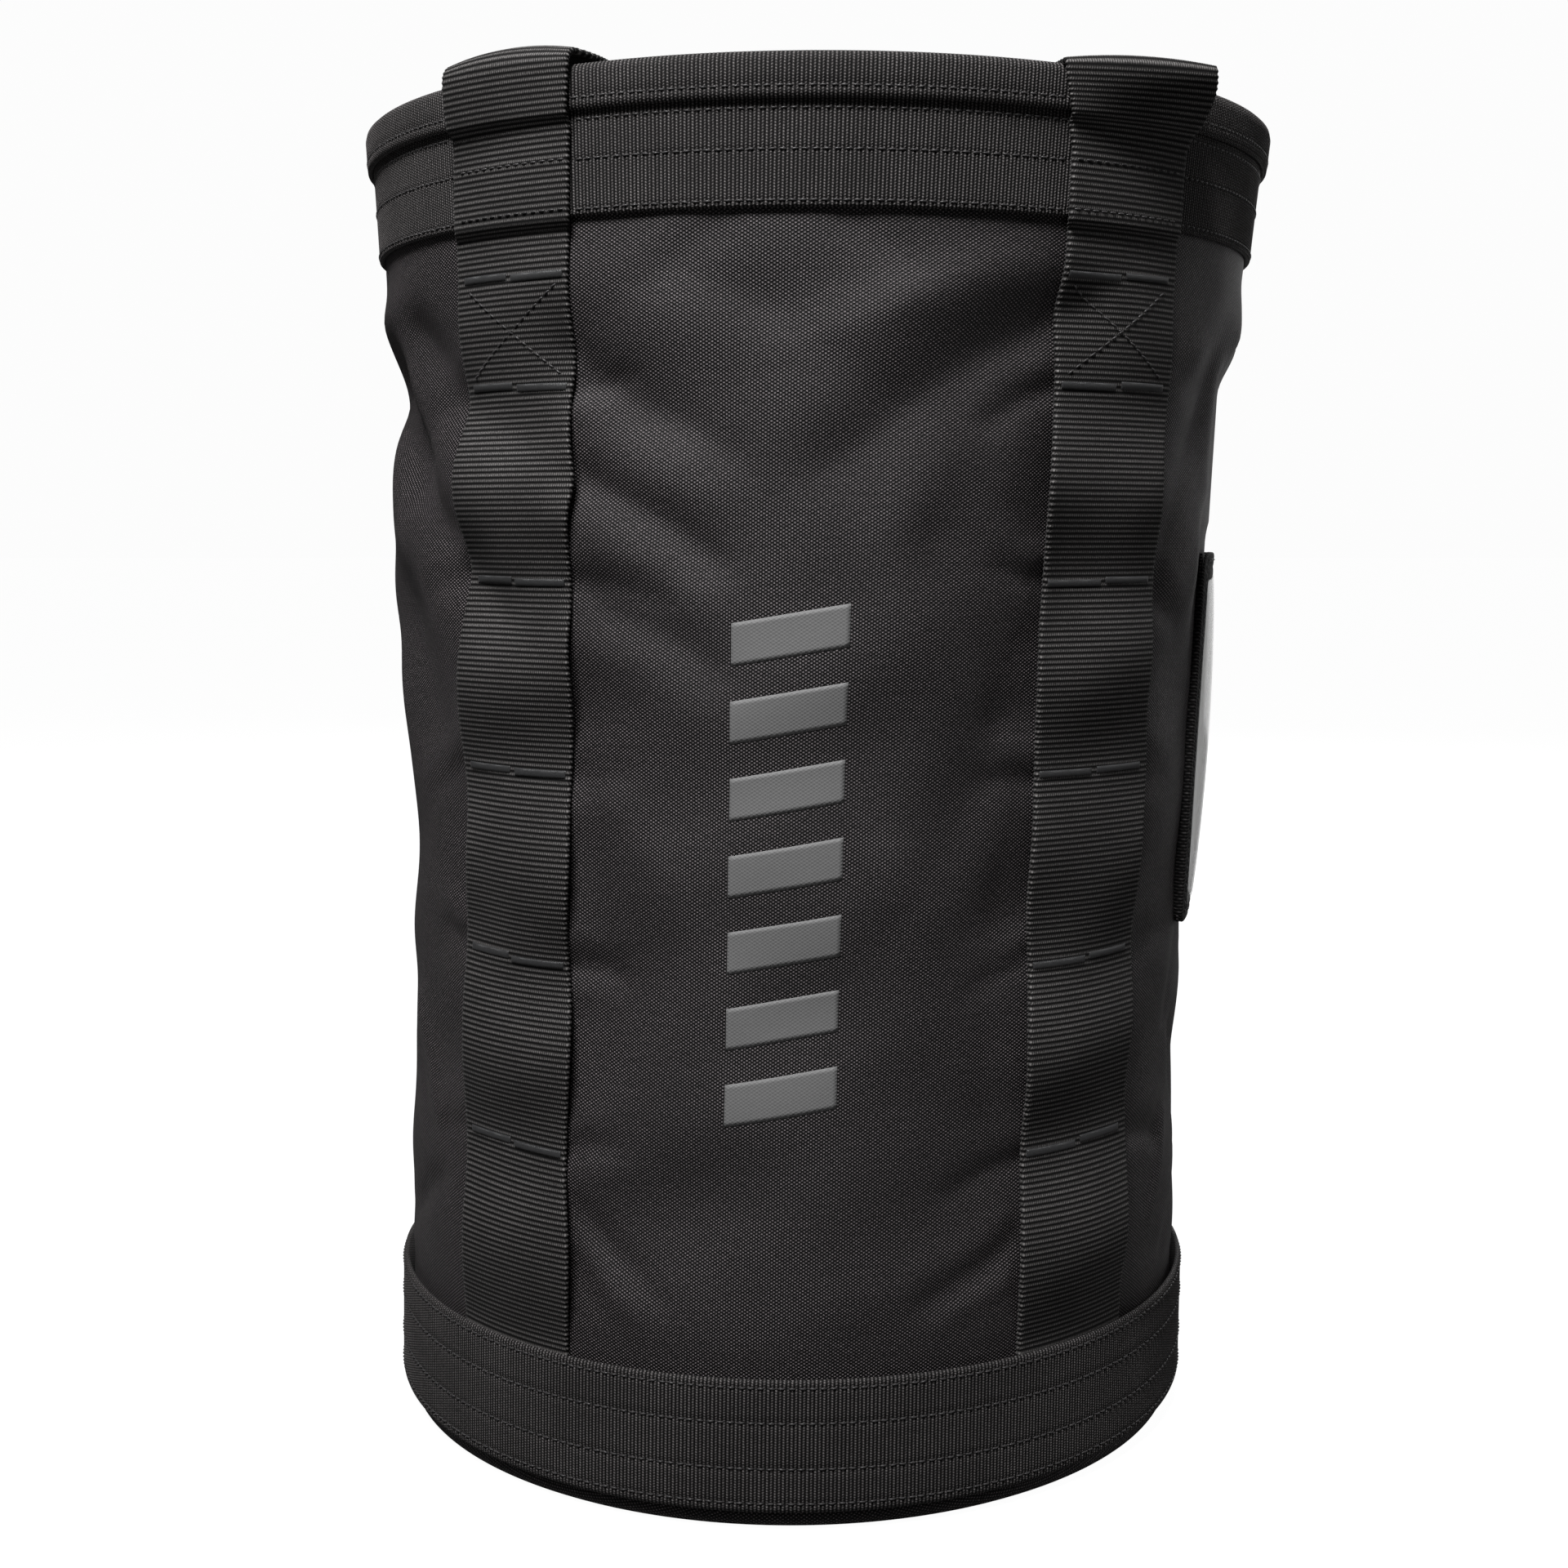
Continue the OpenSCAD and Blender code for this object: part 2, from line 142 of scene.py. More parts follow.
def at(phi, z, radius):
    """The point at this angle, height and radius on the leaning bag."""
    phi, z, radius = np.broadcast_arrays(phi, z, radius)
    return np.stack([radius * np.sin(phi) + lean(z), -radius * np.cos(phi), z], axis=-1)


def strap_x(z):
    return STRAP_X0 + STRAP_SPREAD * z / BAG_H


def strap_phi(z, side, end):
    a = np.arcsin(strap_x(z) / form_radius(z))
    return side * (a if end < 0 else math.pi - a)

# Folds of the wall: from (angle, height) to (angle, height), width across, depth (negative is inwards).
# The straps go along with the broad ones. The fine ones are in the free wall only.
D = math.radians
BROAD_FOLDS = [
    (-92, 382, -66, 340, 11, -5.0), (-98, 404, -72, 398, 10, 3.0), (-74, 372, -42, 296, 12, -5.5),
    (-60, 385, -40, 352, 13, -5.5), (-104, 350, -74, 262, 17, 3.6), (-66, 286, -48, 214, 14, -2.0),
    (-104, 210, -64, 120, 18, 1.8),
    (92, 412, 84, 352, 8, -4.2), (74, 404, 68, 340, 10, 2.2), (62, 372, 50, 300, 11, -2.2),
    (30, 392, 4, 348, 12, -3.8), (24, 406, -2, 380, 10, 2.4), (-28, 374, -11, 346, 9, -3.2),
    (-27, 338, -12, 314, 7, -3.0), (-26, 300, -12, 280, 8, -2.6), (26, 256, 12, 196, 12, -1.9),
    (-24, 232, -8, 170, 14, 1.5), (-14, 402, 8, 366, 9, -1.4), (18, 330, 26, 286, 9, -1.7),
    (140, 392, 168, 330, 11, -2.6), (-150, 396, -172, 340, 12, -2.4), (31, 340, 26, 130, 22, -4.2),
    (15, 318, 24, 262, 9, -2.2), (12, 214, 23, 150, 9, 1.6), (-30, 330, -27, 150, 12, -1.6),
    (170, 300, 150, 200, 15, 1.8), (-128, 330, -112, 240, 12, -2.4), (118, 402, 108, 350, 9, -2.6),
]
FINE_FOLDS = [
    (29, 88, 17, 72, 4.5, -1.5), (28, 76, 20, 66, 3.5, 1.0), (-28, 98, -18, 74, 4.5, -1.4),
    (-27, 84, -22, 68, 3.5, 0.9), (74, 190, 66, 150, 5, -1.4), (70, 142, 78, 104, 5, -1.6),
    (66, 112, 60, 82, 4, 1.1), (80, 84, 66, 66, 4, -1.3), (-60, 92, -78, 66, 5, -1.5),
    (-70, 150, -60, 118, 5, 1.2), (4, 414, 14, 398, 5, -0.7), (-12, 412, -20, 398, 5, -0.8),
    (176, 92, 160, 70, 5, -1.4), (-160, 120, -172, 84, 5, -1.3), (130, 190, 122, 120, 6, -1.2),
]
chance = np.random.default_rng(11)
for fold_side, fold_end in CORNERS:
    for row in TACK_ROWS[:-1]:
        # The tacks pull the wall in beside both edges of the strap
        for edge in (-1, 1):
            middle = math.degrees(strap_phi(row, fold_side, fold_end))
            phi_a = middle + edge * 9.6
            reach = edge * chance.uniform(6, 12)
            drop = chance.uniform(-14, 6)
            FINE_FOLDS.append((phi_a, row + chance.uniform(-3, 3), phi_a + reach, row + drop,
                               chance.uniform(3.5, 5.5), -chance.uniform(0.9, 1.9)))
            FINE_FOLDS.append((phi_a + edge, row + 9, phi_a + reach, row + drop + 12,
                               chance.uniform(4, 6), chance.uniform(0.4, 0.9)))
WAVES = [(chance.uniform(-1, 1), chance.uniform(-1, 1), chance.uniform(38, 115), chance.uniform(0, 6.28))
         for _ in range(14)]


def fold_sum(entries, phi, z):
    phi, z = np.broadcast_arrays(phi, z)
    out = np.zeros(phi.shape)
    for phi_a, z_a, phi_b, z_b, width, depth in entries:
        d = np.array([D(phi_b - phi_a) * MEAN_R, z_b - z_a])
        length = np.linalg.norm(d)
        turn = (phi - D(phi_a) + math.pi) % math.tau - math.pi
        px, pz = turn * MEAN_R, z - z_a
        along = (px * d[0] + pz * d[1]) / length
        across = (px * d[1] - pz * d[0]) / length
        across = across + 0.18 * width * np.sin(along / length * 5.0 + z_a)
        over = np.maximum(0, np.abs(along / length - 0.5) - 0.5) * length
        keep = np.exp(-((over / (1.3 * width)) ** 2)) * (1 - 0.35 * np.clip(along / length, 0, 1))
        near = (np.abs(across) < 4.5 * width) & (over < 4 * width)
        if not near.any():
            continue
        beside = np.exp(-(((across - 1.9 * width) / (1.2 * width)) ** 2))
        shape = np.exp(-np.abs(across / width) ** 1.6) - 0.4 * beside
        out += np.where(near, depth * keep * shape, 0)
    return out


def free_wall(z):
    """0 where the bands hold the wall, 1 between them."""
    return smooth((z - BASE_BAND_Z1 - 2) / 26) * smooth((RIM_BAND_Z0 - 2 - z) / 26)


def beside_pocket(phi, z):
    """Towards 0 behind the ID pocket, which keeps the wall flat."""
    away = ((np.abs(np.abs(phi) - math.pi / 2) * MEAN_R / 72) ** 4 + ((z - 247) / 88) ** 4) + 4.0 * (phi < 0)
    return 1 - np.exp(-away)


def broad_folds(phi, z):
    phi, z = np.broadcast_arrays(phi, z)
    out = fold_sum(BROAD_FOLDS, phi, z)
    for kx, kz, length, phase in WAVES:
        size = math.hypot(kx, kz)
        round_bag = math.copysign(max(1, round(abs(kx) / size * math.tau * MEAN_R / length)), kx)
        out = out + 0.25 * np.sin(round_bag * phi + math.tau * kz / size * z / length + phase)
    return out * free_wall(z) * beside_pocket(phi, z)


def folds(phi, z):
    fine = fold_sum(FINE_FOLDS, phi, z) * smooth((z - BASE_BAND_Z1) / 8)
    return broad_folds(phi, z) + fine * beside_pocket(phi, z)

# The ID pocket: its own cylinder, leaning away from the bag as the card's slide does
POCKET_W, POCKET_H, POCKET_Z = 108.0, 134.0, 180.0
BORDER_W, HEM_H = 6.0, 10.0
POCKET_TILT = D(3)
POCKET_MID = POCKET_Z + POCKET_H / 2
POCKET_R = BASE_R + (MOUTH_R - BASE_R) * (POCKET_MID / BAG_H) ** FLARE_POWER + 1.5
POCKET_SHIFT = float(lean(POCKET_MID)) - 3.2
BACKING_T, CARD_T, CARD_GAP, WINDOW_T = 0.8, 0.4, 0.35, 0.5
WINDOW_DEPTH = BACKING_T + 2 * CARD_GAP + CARD_T
EDGE_IN = 2 * CARD_GAP + CARD_T - 0.1
CARD_W, CARD_H, CARD_Z = 90.0, 108.0, 9.0
CARD_TOP = POCKET_Z + CARD_Z + CARD_H + 70


def pocket_recess(phi, z, radius):
    """Keeps the wall just inside the pocket that is sewn on it, and behind the card's way out."""
    theta = phi - math.pi / 2
    beside = np.abs(theta) * MEAN_R
    face = POCKET_R + np.cos(theta) * ((z - POCKET_MID) * math.tan(POCKET_TILT) + POCKET_SHIFT - lean(z))
    inside = smooth((POCKET_W / 2 + 20 - beside) / 17) * smooth((z - POCKET_Z + 22) / 18)
    inside = inside * smooth((POCKET_Z + POCKET_H + 26 - z) / 22)
    radius = radius - inside * np.maximum(0, radius - face + 0.4)
    above = smooth((CARD_W / 2 + 22 - beside) / 20) * smooth((CARD_TOP + 24 - z) / 20)
    above = above * smooth((z - POCKET_MID) / 20)
    return radius - above * np.maximum(0, radius - face - 0.5)


def wall_radius(phi, z):
    return pocket_recess(phi, z, form_radius(z) + folds(phi, z))


# === Mesh helpers. Points are in millimetres and meshes in metres. ===
def uv_grid(columns, rows):
    return np.stack(np.meshgrid(columns, rows), axis=-1)


def paired(u, v):
    return np.stack(np.broadcast_arrays(u, v), axis=-1)


def turns(count):
    """Angles evenly round the bag from its back."""
    return np.arange(count) / count * math.tau - math.pi


def unit(vectors):
    return vectors / np.linalg.norm(vectors, axis=1)[:, None]


def lengths(line):
    """How far along a line each of its points is."""
    return np.concatenate([[0], np.cumsum(np.linalg.norm(np.diff(line, axis=0), axis=1))])


def round_lengths(outline):
    """The same for a closed outline, with the whole way round as the last."""
    return lengths(np.concatenate([outline, outline[:1]]))


def make_object(name, slot, points, faces, materials, uvs=None, face_slots=None, body="bag"):
    """A piece that stands for the CAD node of its name and rides that body, unless body is None."""
    mesh = bpy.data.meshes.new(name)
    mesh.from_pydata((np.asarray(points) * MM).tolist(), [], faces)
    if uvs is not None:
        layer = mesh.uv_layers.new(name="UVMap")
        layer.data.foreach_set("uv", (np.asarray(uvs) * MM).astype(np.float32).ravel())
    for material in materials:
        mesh.materials.append(material)
    if face_slots is not None:
        mesh.polygons.foreach_set("material_index", np.asarray(face_slots, np.int32))
    mesh.polygons.foreach_set("use_smooth", [len(face) <= 4 for face in faces])
    mesh.validate()
    obj = bpy.data.objects.new(name, mesh)
    bpy.context.scene.collection.objects.link(obj)
    if body:
        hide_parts(name)
        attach(obj, body)
    return obj


def grid_object(name, slot, grids, materials, closed=False, flip=False, **settings):
    """One piece of grids of (points, uv) whose columns close: rings if their rows close too, or capped tubes.

    A uv grid has one more column than its points, and in a ring one more row."""
    points, faces, uvs, start = [], [], [], 0
    for grid, uv in grids:
        rows, cols = grid.shape[:2]
        steps = rows if closed else rows - 1
        i, j = (k.ravel() for k in np.meshgrid(np.arange(steps), np.arange(cols), indexing="ij"))
        corners = [(i, j), (i, j + 1), (i + 1, j + 1), (i + 1, j)][::-1 if flip else 1]
        faces += np.stack([(a % rows) * cols + b % cols + start for a, b in corners], axis=1).tolist()
        uvs.append(np.stack([uv[a, b] for a, b in corners], axis=1).reshape(-1, 2))
        for row, turned in () if closed else ((0, not flip), (rows - 1, flip)):
            order = np.arange(cols)[::-1 if turned else 1]
            faces.append((start + row * cols + order).tolist())
            uvs.append(uv[row, order])
        points.append(grid.reshape(-1, 3))
        start += rows * cols
    return make_object(name, slot, np.concatenate(points), faces, materials, np.concatenate(uvs), **settings)


def slab_grid(outer, inner, uv):
    """A closed slab between two grids of points, as points and uv."""
    around = np.concatenate([uv, uv[:, ::-1], uv[:, :1]], axis=1)
    return np.concatenate([outer, inner[:, ::-1]], axis=1), around


def resample(path, step):
    """Points evenly spaced along a polyline, and how far along it each is."""
    along = lengths(path[:, :3])
    at_s = np.linspace(0, along[-1], int(round(along[-1] / step)) + 1)
    return np.stack([np.interp(at_s, along, path[:, k]) for k in range(path.shape[1])], axis=1), at_s


# === Materials ===
class Shader:
    """A Principled material with short calls for its nodes."""

    def __init__(self, name, **values):
        self.material = bpy.data.materials.new(name)
        self.material.use_nodes = True
        self.tree = self.material.node_tree
        self.bsdf = self.tree.nodes["Principled BSDF"]
        for socket, value in values.items():
            self.bsdf.inputs[socket.replace("_", " ")].default_value = value

    def link(self, value, socket):
        if isinstance(value, (int, float, tuple)):
            socket.default_value = value
        else:
            self.tree.links.new(value, socket)

    def node(self, kind, inputs, output=0, **settings):
        """Adds a node with these inputs, by place or name, and returns one of its outputs."""
        made = self.tree.nodes.new("ShaderNode" + kind)
        for key, value in settings.items():
            setattr(made, key, value)
        for key, value in inputs.items():
            self.link(value, made.inputs[key])
        return made.outputs[output]

    def math(self, operation, *values, clamp=False):
        return self.node("Math", dict(enumerate(values)), operation=operation, use_clamp=clamp)

    def times(self, a, b):
        return self.math("MULTIPLY", a, b)

    def uv(self):
        plane = self.node("UVMap", {}, uv_map="UVMap")
        split = self.tree.nodes.new("ShaderNodeSeparateXYZ")
        self.link(plane, split.inputs[0])
        return split.outputs[0], split.outputs[1]

    def join(self, x, y):
        return self.node("CombineXYZ", {0: x, 1: y})

    def noise(self, vector, scale, detail, roughness=0.5):
        return self.node("TexNoise", {"Vector": vector, "Scale": scale, "Detail": detail,
                                      "Roughness": roughness}, "Fac")

    def spot(self):
        return self.node("TexCoord", {}, "Object")

    def mix(self, factor, a, b):
        return self.node("Mix", {0: factor, 6: a, 7: b}, 2, data_type="RGBA")

    def span(self, value, low, high, new_low, new_high):
        return self.node("MapRange", {"Value": value, "From Min": low, "From Max": high, "To Min": new_low,
                                      "To Max": new_high})

    def wave(self, coordinate, pitch):
        """sin of one coordinate with this pitch in metres."""
        return self.math("SINE", self.math("MULTIPLY_ADD", coordinate, math.tau / pitch, 0.0))

    def weave(self, u, v):
        return self.times(self.wave(u, WEAVE_PITCH[0]), self.wave(v, WEAVE_PITCH[1]))

    def finish(self, colour, roughness, height, depth):
        """Sets the colour, the roughness and a relief with this pattern of height and depth in metres."""
        self.link(colour, self.bsdf.inputs["Base Color"])
        self.link(roughness, self.bsdf.inputs["Roughness"])
        self.link(self.node("Bump", {"Height": height, "Distance": depth}), self.bsdf.inputs["Normal"])
        return self.material


def grey(r, g=None, b=None):
    return (r, r if g is None else g, r if b is None else b, 1.0)


WEAVE_PITCH = 0.00173, 0.00113       # metres


def fabric_material(name, dark, light, depth):
    """Heavy plain weave: a checkerboard of yarn crowns with gaps. The relief is real; in the colour the bright
    crowns are painted glints and the dark gaps painted shade, and the cloudy noise makes the painted glints
    patchy.
    """
    s = Shader(name, Specular_IOR_Level=0.38, Sheen_Weight=0.02, Sheen_Roughness=0.4)
    u, v = s.uv()
    plane = s.join(u, v)
    crowns = s.span(s.weave(s.math("MULTIPLY_ADD", s.noise(plane, 90, 2), 0.0006, u), v), -0.75, 0.95, 0, 1)
    yarn = s.noise(s.join(s.times(u, 1500), s.times(v, 500)), 1, 2, 0.6)
    thick_thin = s.noise(s.join(s.times(u, 25), s.times(v, 800)), 1, 1)
    cloudy = s.noise(plane, 22, 4, 0.6)
    # tone: painted glints on the yarn crowns, painted shade in the gaps between them
    tone = s.times(s.math("POWER", crowns, 4.2), s.span(yarn, 0.3, 0.7, 0.35, 1.4))
    tone = s.times(tone, s.span(thick_thin, 0.3, 0.7, 0.88, 1.06))
    tone = s.math("MULTIPLY", tone, s.span(cloudy, 0.3, 0.7, 0.8, 1.15), clamp=True)
    return s.finish(s.mix(tone, dark, light),
                    s.span(s.math("ADD", cloudy, s.times(crowns, -0.4)), 0, 1, 0.70, 0.40),
                    s.math("ADD", crowns, s.times(yarn, 0.4)), depth)


def webbing_material(name, dark, light, pitch, dash, along="v"):
    """Ribbed webbing: rows across its length, each of small slanted dashes that change hand. The relief is
    real; in the colour the bright dashes on the rib crowns are painted glints and the dark between the ribs
    painted shade.
    """
    s = Shader(name, Specular_IOR_Level=0.17, Sheen_Weight=0.04, Sheen_Roughness=0.4)
    u, v = s.uv()
    length, width = (v, u) if along == "v" else (u, v)
    row = s.times(length, 1 / pitch)
    inside = s.math("FRACT", row)
    hand = s.math("SIGN", s.math("SINE", s.times(row, math.pi)))
    rib = s.math("SINE", s.times(inside, math.pi))
    slant = s.times(s.times(inside, 2.4), hand)
    dashes = s.math("SINE", s.math("ADD", s.times(width, math.tau / dash), slant))
    dashes = s.span(dashes, -1, 1, 0, 1)
    plane = s.join(u, v)
    yarn = s.noise(plane, 1500, 2, 0.6)
    cloudy = s.noise(plane, 30, 3, 0.6)
    # crowns and tone: painted glints on the rib crowns' dashes, painted shade between the ribs
    crowns = s.times(s.math("POWER", rib, 3.0), s.span(dashes, 0, 1, 0.2, 1))
    tone = s.times(s.times(crowns, s.span(yarn, 0.3, 0.7, 0.5, 1.35)), s.span(hand, -1, 1, 0.80, 1.0))
    tone = s.math("MULTIPLY", tone, s.span(cloudy, 0.3, 0.7, 0.8, 1.15), clamp=True)
    return s.finish(s.mix(tone, dark, light), s.span(tone, 0, 1, 0.75, 0.4),
                    s.math("ADD", crowns, s.times(yarn, 0.25)), 0.00018)


def thread_material(name, colour):
    s = Shader(name, Specular_IOR_Level=0.5, Sheen_Weight=0.05)
    twist = s.noise(s.spot(), 2500, 2)
    light = tuple(c * 1.7 for c in colour[:3]) + (1.0,)
    return s.finish(s.mix(s.span(twist, 0.3, 0.7, 0, 1), colour, light), s.span(twist, 0.3, 0.7, 0.32, 0.5),
                    twist, 0.00006)


def coating_material():
    """The wall's coated inside: a smooth film in which the weave still shows."""
    s = Shader("fabric_coating", Specular_IOR_Level=0.45)
    u, v = s.uv()
    spots = s.noise(s.join(u, v), 60, 4, 0.6)
    return s.finish(s.mix(s.span(spots, 0.3, 0.7, 0, 1), grey(0.010), grey(0.020, 0.019, 0.020)),
                    s.span(spots, 0.3, 0.7, 0.36, 0.52), s.weave(u, v), 0.00004)


def plain_material(name, low, high, roughness, grain, depth, **values):
    """A smooth material with a faint grain in colour, gloss and relief."""
    s = Shader(name, **values)
    spots = s.noise(s.spot(), grain, 4, 0.6)
    return s.finish(s.mix(s.span(spots, 0.3, 0.7, 0, 1), low, high),
                    s.span(spots, 0.3, 0.7, roughness - 0.06, roughness + 0.06), spots, depth)


def ink_material():
    """Printed ink that fills the weave, so the yarn crowns still show."""
    s = Shader("print_ink", Specular_IOR_Level=0.35)
    u, v = s.uv()
    crowns = s.span(s.weave(u, v), -1, 1, 0, 1)
    spots = s.noise(s.join(u, v), 700, 3, 0.6)
    tone = s.math("ADD", s.times(crowns, 0.6), s.times(spots, 0.4))
    return s.finish(s.mix(tone, grey(0.185, 0.184, 0.185), grey(0.265, 0.264, 0.265)),
                    s.span(spots, 0.3, 0.7, 0.5, 0.62), crowns, 0.00007)


# The fabric's light colour is painted glint on the yarn crowns; its dark colour is the black cloth darkened
# further by painted shade in the gaps
FABRIC = fabric_material("coated_fabric", grey(0.0035, 0.0031, 0.0033), grey(0.375, 0.328, 0.343), 0.00022)
COATING = coating_material()
# Each webbing's light colour is painted glint on the rib crowns; its dark colour is the black yarn darkened
# further by painted shade between the ribs
STRAP_WEB = webbing_material("strap_webbing", grey(0.0030, 0.0028, 0.0029), grey(0.255, 0.242, 0.238),
                             0.00178, 0.0008)
BAND_WEB = webbing_material("band_webbing", grey(0.0032, 0.0030, 0.0031), grey(0.265, 0.247, 0.246),
                            0.00125, 0.0009, "u")
TAPE = webbing_material("binding_tape", grey(0.0045, 0.0042, 0.0045), grey(0.12, 0.112, 0.112),
                        0.0012, 0.0009, "u")
LOOP_WEB = webbing_material("loop_webbing", grey(0.006, 0.0056, 0.006), grey(0.19, 0.178, 0.178),
                            0.0015, 0.0008)
THREAD = thread_material("thread", grey(0.038, 0.036, 0.037))
TACK_THREAD = thread_material("tack_thread", grey(0.030, 0.030, 0.031))
FOAM = plain_material("foam", grey(0.016), grey(0.036), 0.85, 900, 0.0002, Specular_IOR_Level=0.3)
PLASTIC = plain_material("stiffener_plastic", grey(0.03), grey(0.04), 0.45, 300, 0.00002)
CARD = plain_material("card", grey(0.84, 0.84, 0.81), grey(0.90, 0.90, 0.87), 0.7, 800, 0.00002)
VINYL = plain_material("clear_vinyl", grey(0.90, 0.90, 0.89), grey(0.95, 0.95, 0.94), 0.14, 60, 0.00008,
                       Specular_IOR_Level=0.6, Alpha=0.40)
INK = ink_material()


# === Wall ===
WALL_COLS, WALL_ROWS = 420, 190
WALL_Z0 = node_box("body_panel")[0][2]
WALL_Z1 = node_box("body_panel")[1][2]

z = np.linspace(WALL_Z0, WALL_Z1, WALL_ROWS)[:, None]
phi = turns(WALL_COLS)
radius = wall_radius(phi, z)
outer = at(phi, z, radius)
inner = at(phi, z, radius - WALL_T)
shell = np.concatenate([outer, inner[::-1]], axis=0)
columns = np.arange(WALL_COLS + 1) / WALL_COLS * math.tau * MEAN_R
uv = uv_grid(columns, np.concatenate([z, z[::-1], z[:1]]))
slots = np.zeros((len(shell), WALL_COLS), int)
slots[WALL_ROWS:-1] = 1
grid_object("body_panel", "coated_fabric", [(shell, uv)], [FABRIC, COATING], closed=True,
            face_slots=slots.ravel())


# === Bands of webbing round the bag ===
RIB_STEPS, RIB_PITCH, RIB_DEPTH = 4, 1.25, 0.28


def make_band(name, profile, ribs_on, slot):
    """Sweeps a closed outline of (offset from the form's radius, z) round the bag; ribs_on says how much of
    the crosswise ribs each of its points has."""
    profile = np.array(profile, float)
    cols = int(round(math.tau * form_radius(profile[:, 1].mean()) / RIB_PITCH)) * RIB_STEPS
    rib = RIB_DEPTH * (np.abs(np.sin(np.arange(cols) / RIB_STEPS * math.pi)) - 0.5)
    z = profile[:, 1:]
    points = at(turns(cols), z, form_radius(z) + profile[:, :1] + rib * np.array(ribs_on)[:, None])
    uv = uv_grid(np.arange(cols + 1) / RIB_STEPS * RIB_PITCH, round_lengths(profile))
    grid_object(name, slot, [(points, uv)], [BAND_WEB], closed=True)


def grooved(face, heights, rows, depth=0.34, half=0.8):
    """Points (offset, z) up a face that thread pulls in along its rows."""
    points = [(face, z) for z in heights if all(abs(z - row) > half + 0.3 for row in rows)]
    for row in rows:
        points += [(face, row - half), (face - depth, row), (face, row + half)]
    return sorted(points, key=lambda p: p[1])


# Each outline runs up the outer face first
z0, z1 = RIM_BAND_Z0, WALL_Z1
steps = int(round((z1 - z0 - 1) / 3))
outer = grooved(GAP + WEB_T, [z0 + 0.5 + (z1 - z0 - 1) * k / steps for k in range(steps + 1)], RIM_ROWS)
edge = GAP + WEB_T * 0.55
points = [(edge, z0)] + outer + [(edge, z1), (GAP, z1 - 0.3), (GAP, (z0 + z1) / 2), (GAP, z0 + 0.3)]
make_band("rim_band", points, [0] + [1] * len(outer) + [0] * 4, "webbing")

outer = 2 * GAP + 2 * WEB_T
inner = -WALL_T - 2 * GAP - 1 - GAP - WEB_T
top, low = BAG_H, BINDING_Z0
points = [(outer - 0.9, low - 0.1), (outer + 0.1, low + 0.4), (outer + 0.25, low + 2.6),
          (outer - 0.1, low + 3.5), (outer + 0.25, low + 4.4), (outer + 0.2, low + 7),
          (outer + 0.2, top - 3.2), (outer - 0.3, top - 1.4), (outer - 1.6, top - 0.3),
          (outer - 3.2, top), (inner + 3.2, top), (inner + 1.4, top - 0.4),
          (inner + 0.3, top - 1.6), (inner, top - 3.5), (inner, low + 5), (inner, low + 0.4),
          (inner + 0.9, low - 0.1), (inner + WEB_T, low + 0.4), (inner + WEB_T, top - 2.4),
          (outer - WEB_T, top - 2.4), (outer - WEB_T, low + 0.4)]
make_band("rim_binding", points, [0] + [1] * 15 + [0] * 5, "binding_tape")

z0, z1 = BASE_BAND_Z0, BASE_BAND_Z1
face = BASE_BAND_R
heights = [z0 + 1.8, z0 + 6] + [z0 + 8 + (z1 - z0 - 9.5) * k / 11 for k in range(12)]
front = grooved(face, heights, BASE_ROWS)
points = [(face - 4.6, z0 + 0.6), (face - 3.0, z0), (face - 1.2, z0 + 0.1), (face - 0.3, z0 + 0.8)] + front
points += [(face - 0.3, z1 - 0.4), (face - 0.9, z1)]
points += [(face - WEB_T, z1 - 0.4), (face - WEB_T, (z0 + z1) / 2), (face - WEB_T, z0 + 3)]
make_band("base_band", [(r - form_radius(z), z) for r, z in points],
          [0, 0, 0.15, 0.4] + [1] * len(front) + [0.5, 0, 0, 0, 0], "webbing")


# === Straps and handles ===
ROW_PITCH = 1.78
ROW_STEPS = 4
chance = np.random.default_rng(5)
BULGES = {corner: chance.uniform(0.8, 1.12, LOOP_N) for corner in CORNERS}
ANY = (0, 0)
BULGES[ANY] = np.ones(LOOP_N)


def strap_radius(z, corner=ANY):
    """Radius of a strap's inner face: on the wall or arched off it, then on the rim band and the binding."""
    z = np.asarray(z, float)
    step = WEB_T + GAP + THREAD_T
    out = form_radius(z) + STRAP_GAP + step * smooth((z - RIM_BAND_Z0 + 4) / 3)
    out = out + step * smooth((z - BINDING_Z0 + 4) / 3)
    for k, (low, high) in enumerate(zip(LOOP_EDGES, LOOP_EDGES[1:])):
        t = (z - low) / (high - low)
        inside = (t > 0) & (t < 1)
        arch = LOOP_GAP * BULGES[corner][k] * np.sin(math.pi * np.clip(t, 0, 1)) ** 2
        out = out + np.where(inside, arch, 0)
    return out


def sagitta(radius, half=WEB_W / 2):
    return radius - math.sqrt(radius * radius - half * half)


def station(place, a, normal, crown):
    return [*place, math.cos(a), math.sin(a), 0, *normal, crown]


def sewn(z, corner):
    """A station of the front right strap: place, width direction, face normal, crown."""
    r, x = float(strap_radius(z, corner)), strap_x(z)
    a = math.asin(x / r)
    return station((x, -r * math.cos(a), z), a, (math.sin(a), -math.cos(a), 0), sagitta(r))


TURN_Z = RIM_ROWS[1] + 3


